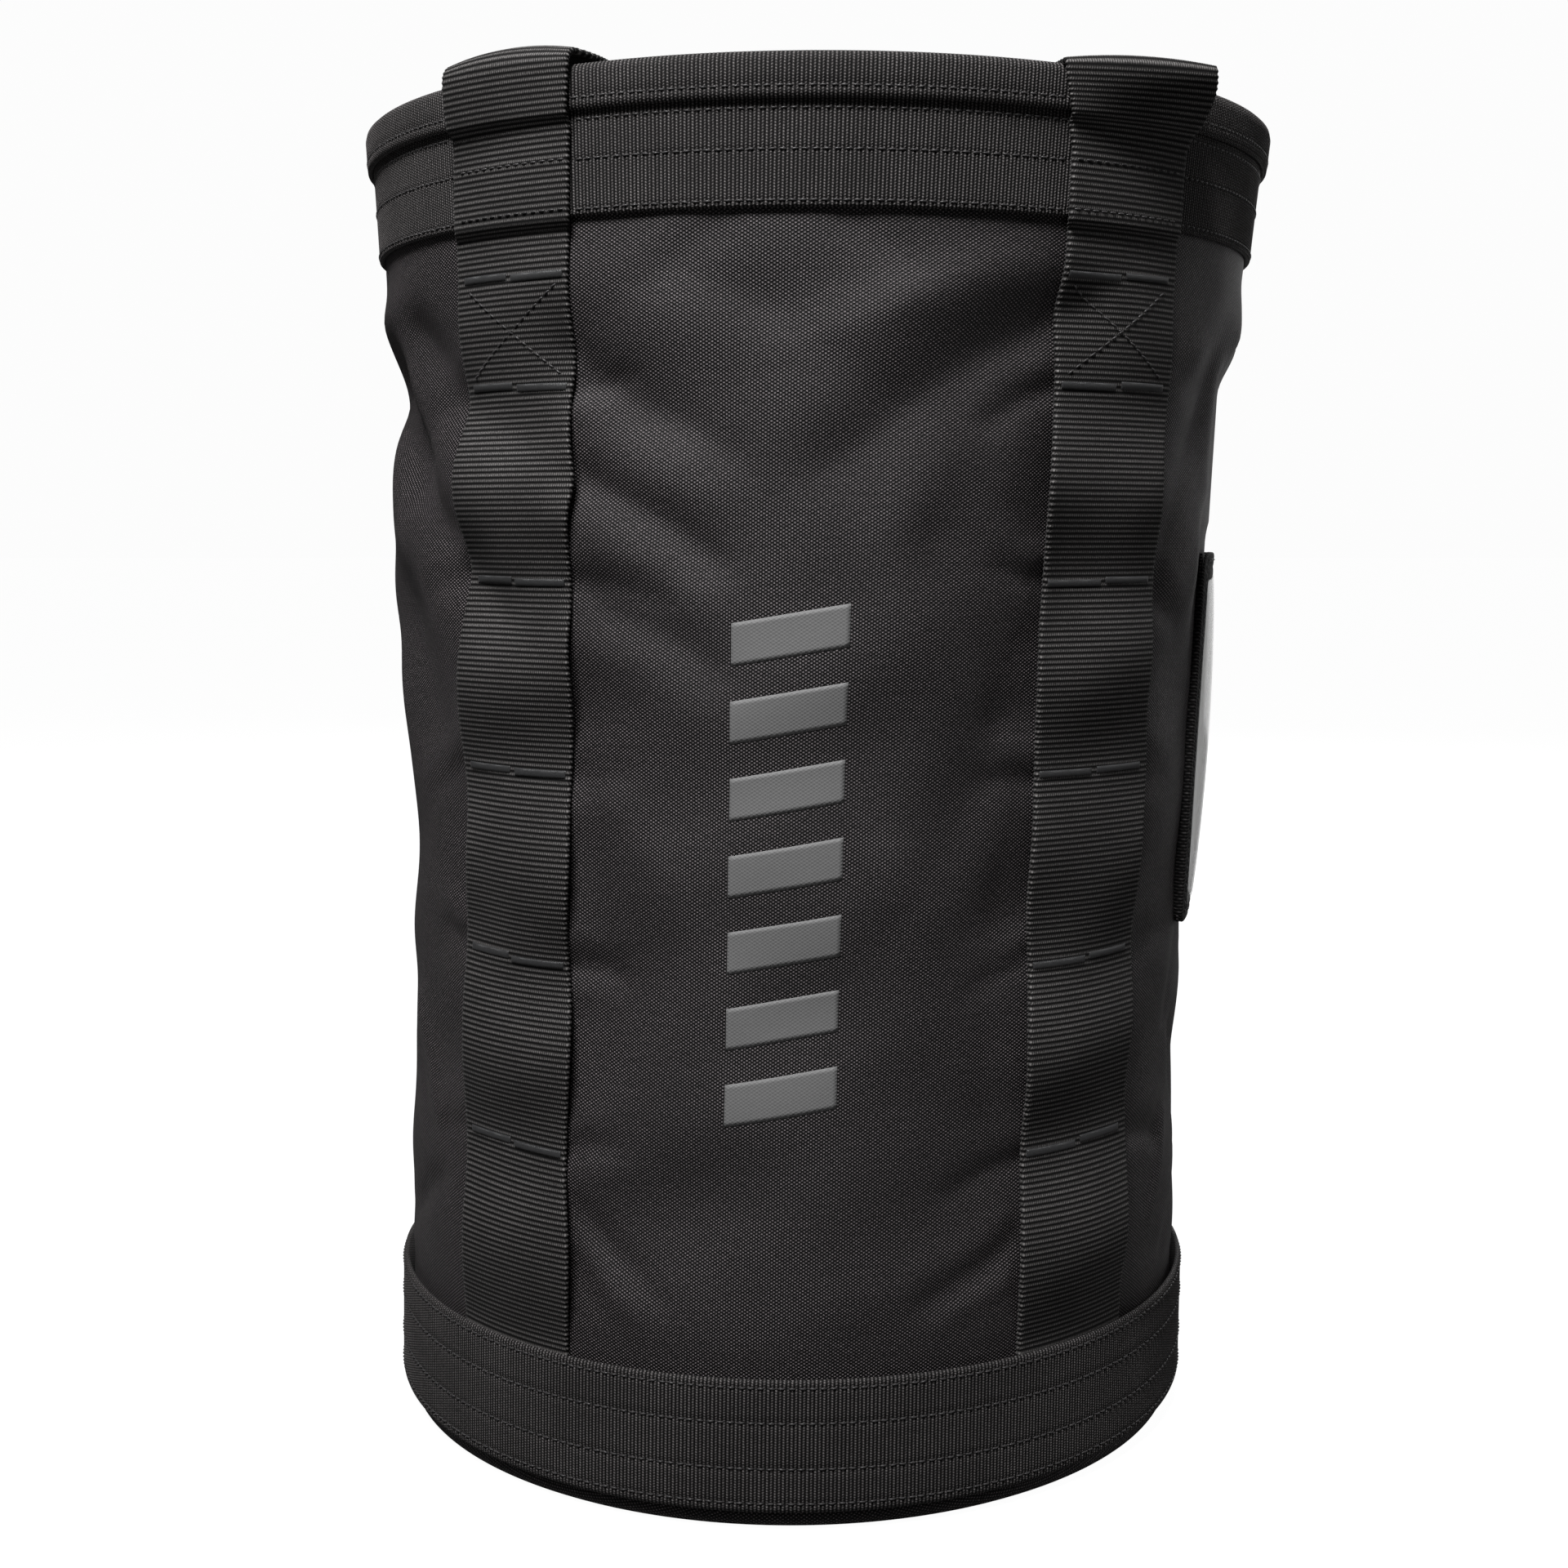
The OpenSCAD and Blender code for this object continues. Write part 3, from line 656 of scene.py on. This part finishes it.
def half_path(corner):
    """Stations of a front right strap and half its handle, up from the base band to the middle."""
    square, bend_r, lower, shift = CROSSINGS[corner]
    top_a = D(square)
    bend_crown = 0.8 + square * 0.06
    half = WEB_W / 2
    zs = [*np.arange(BASE_BAND_Z1 - 9, RIM_BAND_Z0 - 6, 1.5), *np.arange(RIM_BAND_Z0 - 5, TURN_Z, 0.5)]
    path = [sewn(z, corner) for z in zs]
    r0 = float(strap_radius(TURN_Z))
    a0 = math.asin(strap_x(TURN_Z) / r0)
    edge0 = a0 - math.asin(half / r0)
    r1 = float(strap_radius(BAG_H)) + 0.4
    edge1 = math.asin((HANDLE_X + shift - half * math.cos(top_a)) / r1)
    for t in np.linspace(0, 1, 26):
        z = TURN_Z + t * (lower - bend_r - TURN_Z)
        s = float(smooth(t))
        edge = edge0 + (edge1 - edge0) * t
        r = float(strap_radius(z)) + 0.4 * t
        a = a0 + (top_a - a0) * s
        crown = sagitta(r0) * (1 - s) + bend_crown * s
        normal = np.array([math.sin(a), -math.cos(a), 0])
        width = np.array([math.cos(a), math.sin(a), 0])
        place = np.array([r * math.sin(edge), -r * math.cos(edge), z]) + half * width + crown * normal
        path.append(station(place, a, normal, crown))
    corner_place = np.array(path[-1][:3])
    back = np.array([-math.sin(top_a), math.cos(top_a), 0])
    up = np.array([0, 0, 1.0])
    for t in np.linspace(0, 1, 12)[1:]:
        turn = math.pi / 2 * t
        place = corner_place + back * bend_r * (1 - math.cos(turn)) + up * bend_r * math.sin(turn)
        path.append(station(place, top_a, -back * math.cos(turn) + up * math.sin(turn), bend_crown))
    # Seen from above, a curve from the bend to the handle's straight middle, then that middle
    start, straight, reach = np.array(path[-1][:2]), np.array([HANDLE_X, -62.0]), 62.0
    plan = [start]
    for t in np.linspace(0, 1, 60)[1:]:
        h = [2 * t ** 3 - 3 * t ** 2 + 1, t ** 3 - 2 * t ** 2 + t, -2 * t ** 3 + 3 * t ** 2, t ** 3 - t ** 2]
        plan.append(h[0] * start + h[1] * back[:2] * reach + h[2] * straight + h[3] * np.array([0, reach]))
    plan += [np.array([HANDLE_X, y]) for y in np.linspace(straight[1], 0, 32)[1:]]
    y_top = start[1]
    points = np.array([[x, y, lower + (HANDLE_Z1 - lower) * math.cos(math.pi / 2 * min(1.0, y / y_top)) ** 1.5]
                       for x, y in plan])
    next_ones = np.concatenate([points[2:], [[HANDLE_X, 1.5, HANDLE_Z1]]])
    for before, here, after in zip(points, points[1:], next_ones):
        way = after - before
        way /= np.linalg.norm(way)
        width = np.array([way[1], -way[0], 0])
        width /= np.linalg.norm(width)
        crown = 0.8 + (bend_crown - 0.8) * abs(here[1] / y_top) ** 3
        path.append([*here, *width, *np.cross(width, way), crown])
    return np.array(path, float)


def section(width=WEB_W, thick=WEB_T):
    """Outline of the webbing across: (across, up, lifted by rows), thicker at its selvedges."""
    half = width / 2
    top = [(u * half, thick, 1.0) for u in np.linspace(-0.93, 0.93, 15)]
    right = [(half * 0.985, thick * 1.02, 0.8), (half * 1.005, thick * 0.62, 0.3), (half * 0.985, 0.0, 0.2)]
    left = [(-half * 0.985, 0.0, 0.2), (-half * 1.005, thick * 0.62, 0.3), (-half * 0.985, thick * 1.02, 0.8)]
    under = [(u * half, 0.0, -0.6) for u in np.linspace(0.9, -0.9, 7)]
    return np.array(top + right + under + left)


def sweep_webbing(name, frames, s, corner, **settings):
    """Sweeps the webbing's section along evenly spaced stations, with a raised row every ROW_PITCH."""
    side, end = corner
    lift = 0.17 * (np.abs(np.sin(s / ROW_PITCH * math.pi)) - 0.5)
    across, up, lifted = section().T
    half = WEB_W / 2
    place, crown = frames[:, 0:3], frames[:, 9:]
    width_dir, normal = unit(frames[:, 3:6]), unit(frames[:, 6:9])
    selvedge = np.abs(across) > half * 0.95
    wobble = 0.2 * np.sin(s / ROW_PITCH * math.tau)[:, None] * selvedge * np.sign(across)
    height = up + lift[:, None] * lifted - crown * (across / half) ** 2
    points = (place[:, None] + width_dir[:, None] * (across + wobble)[..., None]
              + normal[:, None] * height[..., None])
    points[..., 0] *= side
    points[..., 1] *= -end
    phi = np.arctan2(points[..., 0], -points[..., 1])
    radius = np.hypot(points[..., 0], points[..., 1]) + broad_folds(phi, points[..., 2])
    points = at(phi, points[..., 2], radius)
    uv = uv_grid(np.append(across, across[0]), s)
    return grid_object(name, "webbing", [(points, uv)], [STRAP_WEB], flip=side * -end > 0, **settings)


SPLIT_Y = -129.0
for web_corner in CORNERS:
    web_side, web_end = web_corner
    body = "left_handle" if web_side < 0 else "right_handle"
    web_path, web_s = resample(half_path(web_corner), ROW_PITCH / ROW_STEPS)
    web_s = web_s + (0.5 - web_s[-1] / ROW_PITCH) % 2 * ROW_PITCH      # both halves meet on a row's crest
    past = np.nonzero((web_path[:, 2] > BAG_H) & (web_path[:, 1] > SPLIT_Y))[0][0]
    sweep_webbing(NAMES[web_corner] + "_strap", web_path[:past + 1], web_s[:past + 1], web_corner)
    half_name = f"{body}_{'front' if web_end < 0 else 'rear'}"
    free_part = sweep_webbing(half_name, web_path[past:], web_s[past:], web_corner, body=None)
    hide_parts(body)
    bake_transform(free_part)


# === Thread: single stitches and bar tacks ===
def stitch_object(name, rows, thick=0.34, sink=0.12):
    """One arched, pointed length of thread from each start to its end. A row is (starts, ends, normals)."""
    starts, ends, normals = (np.concatenate(v) for v in zip(*rows))
    way = unit(ends - starts)
    side = unit(np.cross(way, normals))
    up = np.cross(side, way)
    t = np.linspace(0, 1, 6)
    girth = thick * np.array([0.35, 0.85, 1.0, 1.0, 0.85, 0.35])
    rise = thick * 1.1 * np.sin(math.pi * t) ** 0.6 - sink - thick * 0.5
    turn = np.arange(6) / 6 * math.tau
    centre = starts[:, None] + (ends - starts)[:, None] * t[:, None] + up[:, None] * rise[:, None]
    ring = side[:, None, None] * np.cos(turn)[:, None] + up[:, None, None] * np.sin(turn)[:, None]
    points = (centre[:, :, None] + ring * girth[:, None, None]).reshape(-1, 3)
    i, j = (k.ravel() for k in np.meshgrid(np.arange(5) * 6, np.arange(6), indexing="ij"))
    after = (j + 1) % 6
    quads = np.stack([i + 6 + j, i + 6 + after, i + after, i + j], axis=1)
    offsets = np.arange(len(starts))[:, None] * 36
    faces = (offsets[..., None] + quads).reshape(-1, 4).tolist()
    faces += (offsets + np.arange(6)).tolist() + (offsets + 30 + np.arange(6)[::-1]).tolist()
    make_object(name, "thread", points, faces, [THREAD])


def outward(phi):
    return np.stack([np.sin(phi), -np.cos(phi), 0 * phi], axis=-1)


def off_the_straps(phi, z):
    out = np.ones(len(phi), bool)
    for side, end in CORNERS:
        away = np.abs((phi - strap_phi(z, side, end) + math.pi) % math.tau - math.pi)
        out &= away > 26.5 / 163
    return out


def row_stitches(radius, z, all_round=False, pitch=3.3, length=2.5):
    """Stitches of one row round the bag: starts, ends, normals."""
    count = int(round(math.tau * radius / pitch))
    jitter = np.random.default_rng(int(z * 10))
    phi = turns(count) + jitter.normal(0, 0.0009, count)
    half = length / 2 / radius
    drop = jitter.normal(0, 0.09, count)
    if not all_round:
        kept = off_the_straps(phi, z)
        phi, drop = phi[kept], drop[kept]
    return at(phi - half, z + drop, radius), at(phi + half, z - drop, radius), outward(phi)


rim_rows = [row_stitches(form_radius(z) + GAP + WEB_T + 0.12, z) for z in RIM_ROWS + [BINDING_Z0 - 2.6]]
rim_rows.append(row_stitches(form_radius(BINDING_ROW) + 2 * GAP + 2 * WEB_T + 0.2, BINDING_ROW))
stitch_object("rim_stitching", rim_rows)
stitch_object("base_band_stitching", [row_stitches(BASE_BAND_R + 0.12, z, True) for z in BASE_ROWS])


def strap_point(corner, across, z, up):
    """A point on a strap: millimetres from its middle, its height, and above its inner face."""
    side, end = corner
    r = strap_radius(z, corner) + up
    a = np.arcsin(strap_x(z) / r) + across / r
    phi = side * (a if end < 0 else math.pi - a)
    return at(phi, z, r + broad_folds(phi, z)), outward(phi)


def line_stitches(corner, a, b, pitch=3.2, length=2.4):
    """Stitches along a straight line on a strap, from a to b in (across, z)."""
    a, b = np.array(a, float), np.array(b, float)
    size = np.linalg.norm(b - a)
    count = int(size / pitch)
    t = (np.arange(count) + 0.5) / count
    half = length / 2 / size
    first, last, middle = (a + (b - a) * v[:, None] for v in (t - half, t + half, t))
    up = WEB_T + 0.12
    starts, _ = strap_point(corner, first[:, 0], first[:, 1], up)
    ends, _ = strap_point(corner, last[:, 0], last[:, 1], up)
    return starts, ends, strap_point(corner, middle[:, 0], middle[:, 1], up)[1]


TACK_SEEDS = dict(zip(CORNERS, (213, 35, 697, 274)))


def make_tacks(corner, rows):
    """Bar tacks: dense thread across a short bar, two side by side in each row."""
    chance = np.random.default_rng(TACK_SEEDS[corner])
    grids = []
    for z in rows:
        for half in (-1, 1):
            length = TACK_L + chance.uniform(-0.6, 0.4)
            middle = half * (TACK_L / 2 + 0.9) + chance.uniform(-0.2, 0.2)
            tilt = chance.uniform(-0.012, 0.012)
            high = TACK_H / 2 * chance.uniform(0.88, 1.05)
            centre_z = z + half * 0.4 + chance.uniform(-0.25, 0.25)
            along = np.arange(0, length + 0.05, 0.105)
            from_middle = along - length / 2
            end_round = np.sqrt(np.clip(1 - (np.abs(from_middle) / (length / 2 + 0.01)) ** 14, 0.02, 1))
            thread = 0.09 * np.abs(np.sin(along / 0.42 * math.pi))
            ragged = 0.13 * np.sin(along * 7.3 + z) + 0.1 * np.sin(along * 15.7)
            v = np.array([-1, -0.9, -0.65, -0.3, 0, 0.3, 0.65, 0.9, 1.0])
            dome = np.append(0.72 * np.sqrt(np.clip(1 - v ** 2, 0, 1)) ** 0.7 - 0.12, [-0.5, -0.5])
            v = np.append(v, [0.9, -0.9])
            up = WEB_T + dome * end_round[:, None] + thread[:, None] * (dome > 0)
            zz = centre_z + tilt * from_middle[:, None] + (high + ragged * 0.5)[:, None] * v
            points, _ = strap_point(corner, (middle + from_middle)[:, None], zz, up)
            grids.append((points, uv_grid(np.linspace(0, 6, len(v) + 1), along)))
    side, end = corner
    grid_object(NAMES[corner] + "_bar_tacks", "thread", grids, [TACK_THREAD], flip=side * -end > 0)


for thread_corner in CORNERS:
    low, high = BOX_Z + 3, BOX_Z + BOX_H - 3
    lines = [line_stitches(thread_corner, (-20, low), (20, high)),
             line_stitches(thread_corner, (-20, high), (20, low))]
    lines += [line_stitches(thread_corner, (-23, z), (23, z), 3.3, 2.5) for z in RIM_ROWS]
    stitch_object(NAMES[thread_corner] + "_stitching", lines)
    make_tacks(thread_corner, TACK_ROWS)


# === Slabs that follow a surface, and rings ===
def ring_object(name, slot, profile, material, cols=360):
    """Sweeps a closed profile of (radius, z) round the bag."""
    profile = np.array(profile, float)
    around = np.arange(cols + 1) / cols * math.tau * profile[:, 0].max()
    grid_object(name, slot, [(at(turns(cols), profile[:, 1:], profile[:, :1]),
                              uv_grid(around, round_lengths(profile)))], [material], closed=True)


def disc_object(name, slot, upper, lower, material, cols=240):
    """A disc between two profiles of (radius, z) that both start near the axis. uv is in plan."""
    upper, lower = np.array(upper, float), np.array(lower, float)
    profile = np.concatenate([upper, lower[::-1]])
    from_hub = np.concatenate([lengths(upper), lengths(lower)[::-1]])
    turn = np.append(turns(cols), math.pi)
    uv = from_hub[:, None, None] * np.stack([np.sin(turn), -np.cos(turn)], axis=-1)
    return grid_object(name, slot, [(at(turns(cols), profile[:, 1:], profile[:, :1]), uv)], [material])


hub = 0.4
edge = node_box("base_panel")[1][0]
disc_object("base_panel", "coated_fabric",
            [(hub, 1.1), (60, 1.0), (120, 1.1), (edge - 7, 1.4), (edge - 3.2, 2.4), (edge - 1.7, 4.0),
             (edge - 1.3, BASE_BAND_Z0 - 0.1)],
            [(hub, 0.0), (60, 0.05), (120, 0.0), (edge - 5, 0.02), (edge - 1.5, 0.5), (edge + 0.7, 1.8),
             (edge + 1.3, 3.4), (edge + 1.0, 5.2), (edge, BASE_BAND_Z0 - 0.1)], FABRIC)
pad_low, pad_high = node_box("base_pad")
pad_r, pad_z0, pad_z1 = pad_high[0], pad_low[2], pad_high[2]
pad = disc_object("base_pad", "foam_pad",
                  [(hub, pad_z1), (40, pad_z1 + 0.3), (90, pad_z1 + 0.1), (pad_r - 6, pad_z1),
                   (pad_r - 1.5, pad_z1 - 0.6), (pad_r, (pad_z0 + pad_z1) / 2)],
                  [(hub, pad_z0), (pad_r - 3, pad_z0), (pad_r - 0.8, pad_z0 + 0.8)], FOAM)

seam_low, seam_high = node_box("base_seam_binding")
seam_r, seam_z0, seam_z1 = seam_high[0], seam_low[2], seam_high[2]
ring_object("base_seam_binding", "binding_tape",
            [(seam_r, seam_z0), (seam_r, seam_z1 - 0.6), (seam_r - 0.5, seam_z1),
             (seam_r - 1.1, seam_z1 - 0.5), (seam_r - 1.2, seam_z0 + 4), (seam_r - 1.0, seam_z0)], TAPE)
hoop_zs = np.linspace(BINDING_Z0 + 2, WALL_Z1 - 1, 4)
ring_object("rim_hoop", "stiffener_plastic",
            [(form_radius(z) - WALL_T - GAP, z) for z in hoop_zs]
            + [(form_radius(z) - WALL_T - GAP - 1, z) for z in hoop_zs[::-1]], PLASTIC)

z = np.linspace(20, BINDING_Z0 - 8, 120)[:, None]
phi = math.pi + np.linspace(-10, 10, 13) / MEAN_R
inside = wall_radius(np.where(phi > math.pi, phi - math.tau, phi), z) - WALL_T - 0.25
thick = 0.8 - 0.5 * (np.abs(np.linspace(-1, 1, 13)) > 0.95)
uv = paired((phi - math.pi) * MEAN_R, z)
tape = slab_grid(at(phi, z, inside), at(phi, z, inside - thick), uv)
grid_object("back_seam_tape", "binding_tape", [tape], [TAPE])


# === Printed bars ===
PRINT_W, PRINT_Z, PRINT_L, PRINT_N, PRINT_SHIFT = 36.0, 218.0, 172.0, 7, -5.5
pitch = PRINT_L / PRINT_N
bar = pitch * 0.55
slant = PRINT_W * 0.35 / 2
grids = []
for k in range(PRINT_N):
    x = np.linspace(0, PRINT_W, 25)
    z = PRINT_Z - PRINT_L / 2 + k * pitch + slant * x / PRINT_W + np.linspace(0, bar, 10)[:, None]
    phi = (x - PRINT_W / 2 + PRINT_SHIFT) / form_radius(PRINT_Z) + 0 * z
    radius = wall_radius(phi, z)
    outer, inner = at(phi, z, radius + 0.14), at(phi, z, radius + 0.02)
    uv = paired(phi * MEAN_R, z)
    grids.append(slab_grid(outer, inner, uv))
grid_object("front_print", "print_ink", grids, [INK])


# === ID pocket: its own cylinder, leaning away from the bag with the card's slide ===
def pocket_point(arc, z, depth):
    """arc in millimetres round the pocket, z above its lower edge, depth above the backing's inner face."""
    arc, z, depth = np.broadcast_arrays(arc, z, depth)
    r = POCKET_R + depth
    theta = arc / POCKET_R
    x, y, zz = r * np.cos(theta) - POCKET_R, r * np.sin(theta), z - POCKET_H / 2
    return np.stack([x * math.cos(POCKET_TILT) + zz * math.sin(POCKET_TILT) + POCKET_R + POCKET_SHIFT, y,
                     -x * math.sin(POCKET_TILT) + zz * math.cos(POCKET_TILT) + POCKET_MID], axis=-1)


def sewn_down(arc, z):
    """1 at the pocket's sewn sides and foot, where its layers lie together, 0 inside and at its open top."""
    inwards = np.minimum(POCKET_W / 2 - np.abs(arc), z)
    return 1 - smooth((inwards - 1) / 8)


def pocket_slab(name, depth, thick, width, z0, height, material, body, slot, ripple=0.0, swell=0.0):
    arc = np.linspace(-width / 2, width / 2, 41)
    z = np.linspace(z0, z0 + height, 41)[:, None]
    dome = np.cos(arc / width * math.pi)
    off = ripple * (np.sin(arc / 17 + z / 23) + np.sin(arc / 9 - z / 31 + 1)) * dome
    if swell:
        off = off + swell * (dome * np.sin((z - z0) / height * math.pi)) ** 0.5 - EDGE_IN * sewn_down(arc, z)
    outer, inner = pocket_point(arc, z, depth + thick + off), pocket_point(arc, z, depth + off)
    grid_object(name, slot, [slab_grid(outer, inner, paired(arc, z))], [material], body=body)


pocket_slab("id_pocket_backing", 0, BACKING_T, POCKET_W - 1, 0.5, POCKET_H - 1, FABRIC, "bag",
            "coated_fabric")
pocket_slab("id_card", BACKING_T + CARD_GAP, CARD_T, CARD_W, CARD_Z, CARD_H, CARD, "id_card", "card")
pocket_slab("id_window", WINDOW_DEPTH, WINDOW_T, POCKET_W - 5, 2.5, POCKET_H - 5, VINYL, "bag", "clear_vinyl",
            0.12, 3.8)


def rounded_loop(width, z0, z1, corner, per_side=24, per_corner=8):
    """Points round a rectangle with rounded corners, from the lower right corner upwards."""
    half = width / 2
    centres = [(half - corner, z0 + corner, -90), (half - corner, z1 - corner, 0),
               (corner - half, z1 - corner, 90), (corner - half, z0 + corner, 180)]
    arcs = []
    for x, z, turn in centres:
        angles = np.radians(turn + np.linspace(0, 90, per_corner))
        arcs.append(np.stack([x + corner * np.cos(angles), z + corner * np.sin(angles)], axis=1))
    points = []
    for arc, following in zip(arcs, arcs[1:] + arcs[:1]):
        points += list(arc)
        points += [arc[-1] + (following[0] - arc[-1]) * t for t in np.linspace(0, 1, per_side + 2)[1:-1]]
    return np.array(points)


outer = rounded_loop(POCKET_W, 0, POCKET_H, 5)
inner = rounded_loop(POCKET_W - 2 * BORDER_W, BORDER_W, POCKET_H - HEM_H, 2)
low = WINDOW_DEPTH + WINDOW_T + GAP
top = low + 0.7
# Across the tape: (share of the way from the outer to the inner edge, height)
steps = [(0, low), (-0.015, top - 0.5), (0.03, top - 0.05), (0.12, top + 0.12), (0.4, top + 0.05),
         (0.5, top - 0.12), (0.62, top + 0.05), (0.9, top + 0.1), (0.98, top - 0.1), (1, low + 0.4),
         (1, low)]
rows = np.array([[*(outer[k] + (inner[k] - outer[k]) * f), h] for f, h in steps for k in range(len(outer))])
rows = rows.reshape(len(steps), len(outer), 3)
rows[..., 2] -= EDGE_IN * sewn_down(rows[..., 0], rows[..., 1])
sewn_edge = smooth((POCKET_H - 6 - outer[:, 1]) / 8)
rows[0, :, 2] -= (rows[0, :, 2] + 1.8) * sewn_edge
points = pocket_point(rows[..., 0], rows[..., 1], rows[..., 2])
around, up = round_lengths(outer), np.linspace(0, 12, len(steps) + 1)
grid_object("id_pocket_border", "binding_tape", [(points, uv_grid(around, up))], [TAPE], closed=True,
            flip=True)
line = rounded_loop(POCKET_W - BORDER_W, BORDER_W / 2, POCKET_H - 2.5, 3)
path = resample(np.concatenate([line, line[:1]]), 3.2)[0][:-1]
way = (np.roll(path, -1, axis=0) - path) * 0.76
height = top + 0.1 - EDGE_IN * sewn_down(path[:, 0], path[:, 1])
a = pocket_point(path[:, 0], path[:, 1], height)
b = pocket_point(path[:, 0] + way[:, 0], path[:, 1] + way[:, 1], height)
normal = pocket_point(path[:, 0], path[:, 1], height + 2) - a
stitch_object("id_pocket_stitching", [(a, b, normal)], 0.3)


# === Tie loops inside at the back ===
def tie_loop(name, foot_z, up_sign, length, wide):
    """A loop of light webbing that hangs on the wall, its two layers sewn together at the foot."""
    t = 1.5
    path = []
    for v in np.linspace(0, 1, 70):
        bow = float(smooth((v - 0.24) / 0.5))
        path.append((t * 1.6 + (2 * wide - t * 1.1) * bow, 2 + v * (length - 2 - wide)))
    for angle in np.linspace(0, math.pi, 26)[1:-1]:
        path.append((t / 2 + wide + wide * math.cos(angle), length - wide + wide * math.sin(angle)))
    path += [(t / 2, z) for z in np.linspace(length - wide, 2, 60)]
    path, s = resample(np.array(path), 0.75)
    way = unit(np.gradient(path, axis=0))
    normal = np.stack([way[:, 1], -way[:, 0]], axis=1)
    across, up, lifted = section(node_box(name)[1][0] * 2, t).T
    rib = 0.08 * (np.abs(np.sin(s / 1.5 * math.pi)) - 0.5)
    height = up - t / 2 + rib[:, None] * lifted
    depth = path[:, 0:1] + normal[:, 0:1] * height
    z = foot_z + up_sign * (path[:, 1:2] + normal[:, 1:2] * height)
    back = np.full_like(z, math.pi)
    y = wall_radius(back, z) - WALL_T - 2.3 - depth
    points = np.stack([across + lean(z), y, z], axis=-1)
    uv = uv_grid(np.append(across, across[0]), s)
    grid_object(name, "webbing", [(points, uv)], [LOOP_WEB], flip=up_sign < 0)

    def front(x, tall):
        """A point on the sewn foot's face towards the bag's middle."""
        z = foot_z + up_sign * tall + 0 * x
        y = wall_radius(math.pi + 0 * x, z) - WALL_T - 2.3 - t * 2.1
        return np.stack([x + lean(z), y, z], axis=-1)
    return front


tie_low, tie_high = node_box("base_tie_loop")
base_front = tie_loop("base_tie_loop", tie_low[2] - 1, 1, tie_high[2] - tie_low[2], 5.0)
rim_low, rim_high = node_box("rim_tie_loop")
rim_front = tie_loop("rim_tie_loop", rim_high[2] + 1, -1, rim_high[2] - rim_low[2], 5.0)

grids = []
for front in (base_front, rim_front):
    for tall in (4.5, 9.5):
        along = np.arange(-10.5, 10.55, 0.105)
        v = np.array([-1, -0.85, -0.5, 0, 0.5, 0.85, 1.0, 0.9, -0.9])
        dome = np.array([-0.1, 0.28, 0.5, 0.58, 0.5, 0.28, -0.1, -0.4, -0.4])
        thread = 0.08 * np.abs(np.sin(along / 0.42 * math.pi))
        rows = np.stack([front(along, tall + 1.1 * k) for k in v], axis=1)
        rows[..., 1] -= dome + thread[:, None] * (dome > 0)
        grids.append((rows, uv_grid(np.linspace(0, 5, len(v) + 1), along)))
grid_object("tie_loop_tacks", "thread", grids, [TACK_THREAD])


# === Floor and light ===
FLOOR = 30.0             # half its width, in metres
floor_mesh = bpy.data.meshes.new("floor")
floor_mesh.from_pydata([(-FLOOR, -FLOOR, 0), (FLOOR, -FLOOR, 0), (FLOOR, FLOOR, 0), (-FLOOR, FLOOR, 0)], [],
                       [(0, 1, 2, 3)])
floor = bpy.data.objects.new("floor", floor_mesh)
bpy.context.scene.collection.objects.link(floor)
BACKDROP = 0.975         # brightness of the floor and the world as the camera sees them
s = Shader("floor", Roughness=0.9, Specular_IOR_Level=0.1, Base_Color=grey(0.13), Emission_Color=grey(1.0))
s.link(s.times(s.node("LightPath", {}, "Is Camera Ray"), BACKDROP), s.bsdf.inputs["Emission Strength"])
floor_mesh.materials.append(s.material)

# Lights: name, place, what it points at, width and height, power
for name, place, target, size, power in [
        ("key", (-0.27, -0.84, 1.38), (0.0, 0, 0.44), (0.45, 0.35), 22),
        ("rim_left", (-2.2, 0.15, 1.5), (0, 0, 0.40), (0.5, 1.2), 0.4),
        ("rim_right", (2.2, 0.35, 1.0), (0, 0, 0.28), (0.5, 1.2), 4.0),
        ("backdrop_right", (1.15, 1.9, 0.7), (0.1, 0, 0.28), (1.6, 1.8), 9.0),
        ("top", (0, 0.4, 1.9), (0, 0, 0.4), (1.0, 1.0), 5),
        ("back", (0.3, 1.9, 1.4), (0, 0, 0.25), (1.2, 1.2), 14)]:
    data = bpy.data.lights.new(name, "AREA")
    data.shape = "RECTANGLE"
    data.size, data.size_y = size
    data.energy = power
    light = bpy.data.objects.new(name, data)
    light.location = place
    light.rotation_euler = (Vector(target) - Vector(place)).to_track_quat("-Z", "Y").to_euler()
    bpy.context.scene.collection.objects.link(light)

world = bpy.data.worlds.new("world")
bpy.context.scene.world = world
world.use_nodes = True
tree = world.node_tree
background = tree.nodes["Background"]
background.inputs["Color"].default_value = grey(1.0)
ray = tree.nodes.new("ShaderNodeLightPath")
strength = tree.nodes.new("ShaderNodeMapRange")
tree.links.new(ray.outputs["Is Camera Ray"], strength.inputs["Value"])
strength.inputs["To Min"].default_value = 0.024
strength.inputs["To Max"].default_value = BACKDROP
tree.links.new(strength.outputs[0], background.inputs["Strength"])
bpy.context.scene.view_settings.view_transform = "Standard"
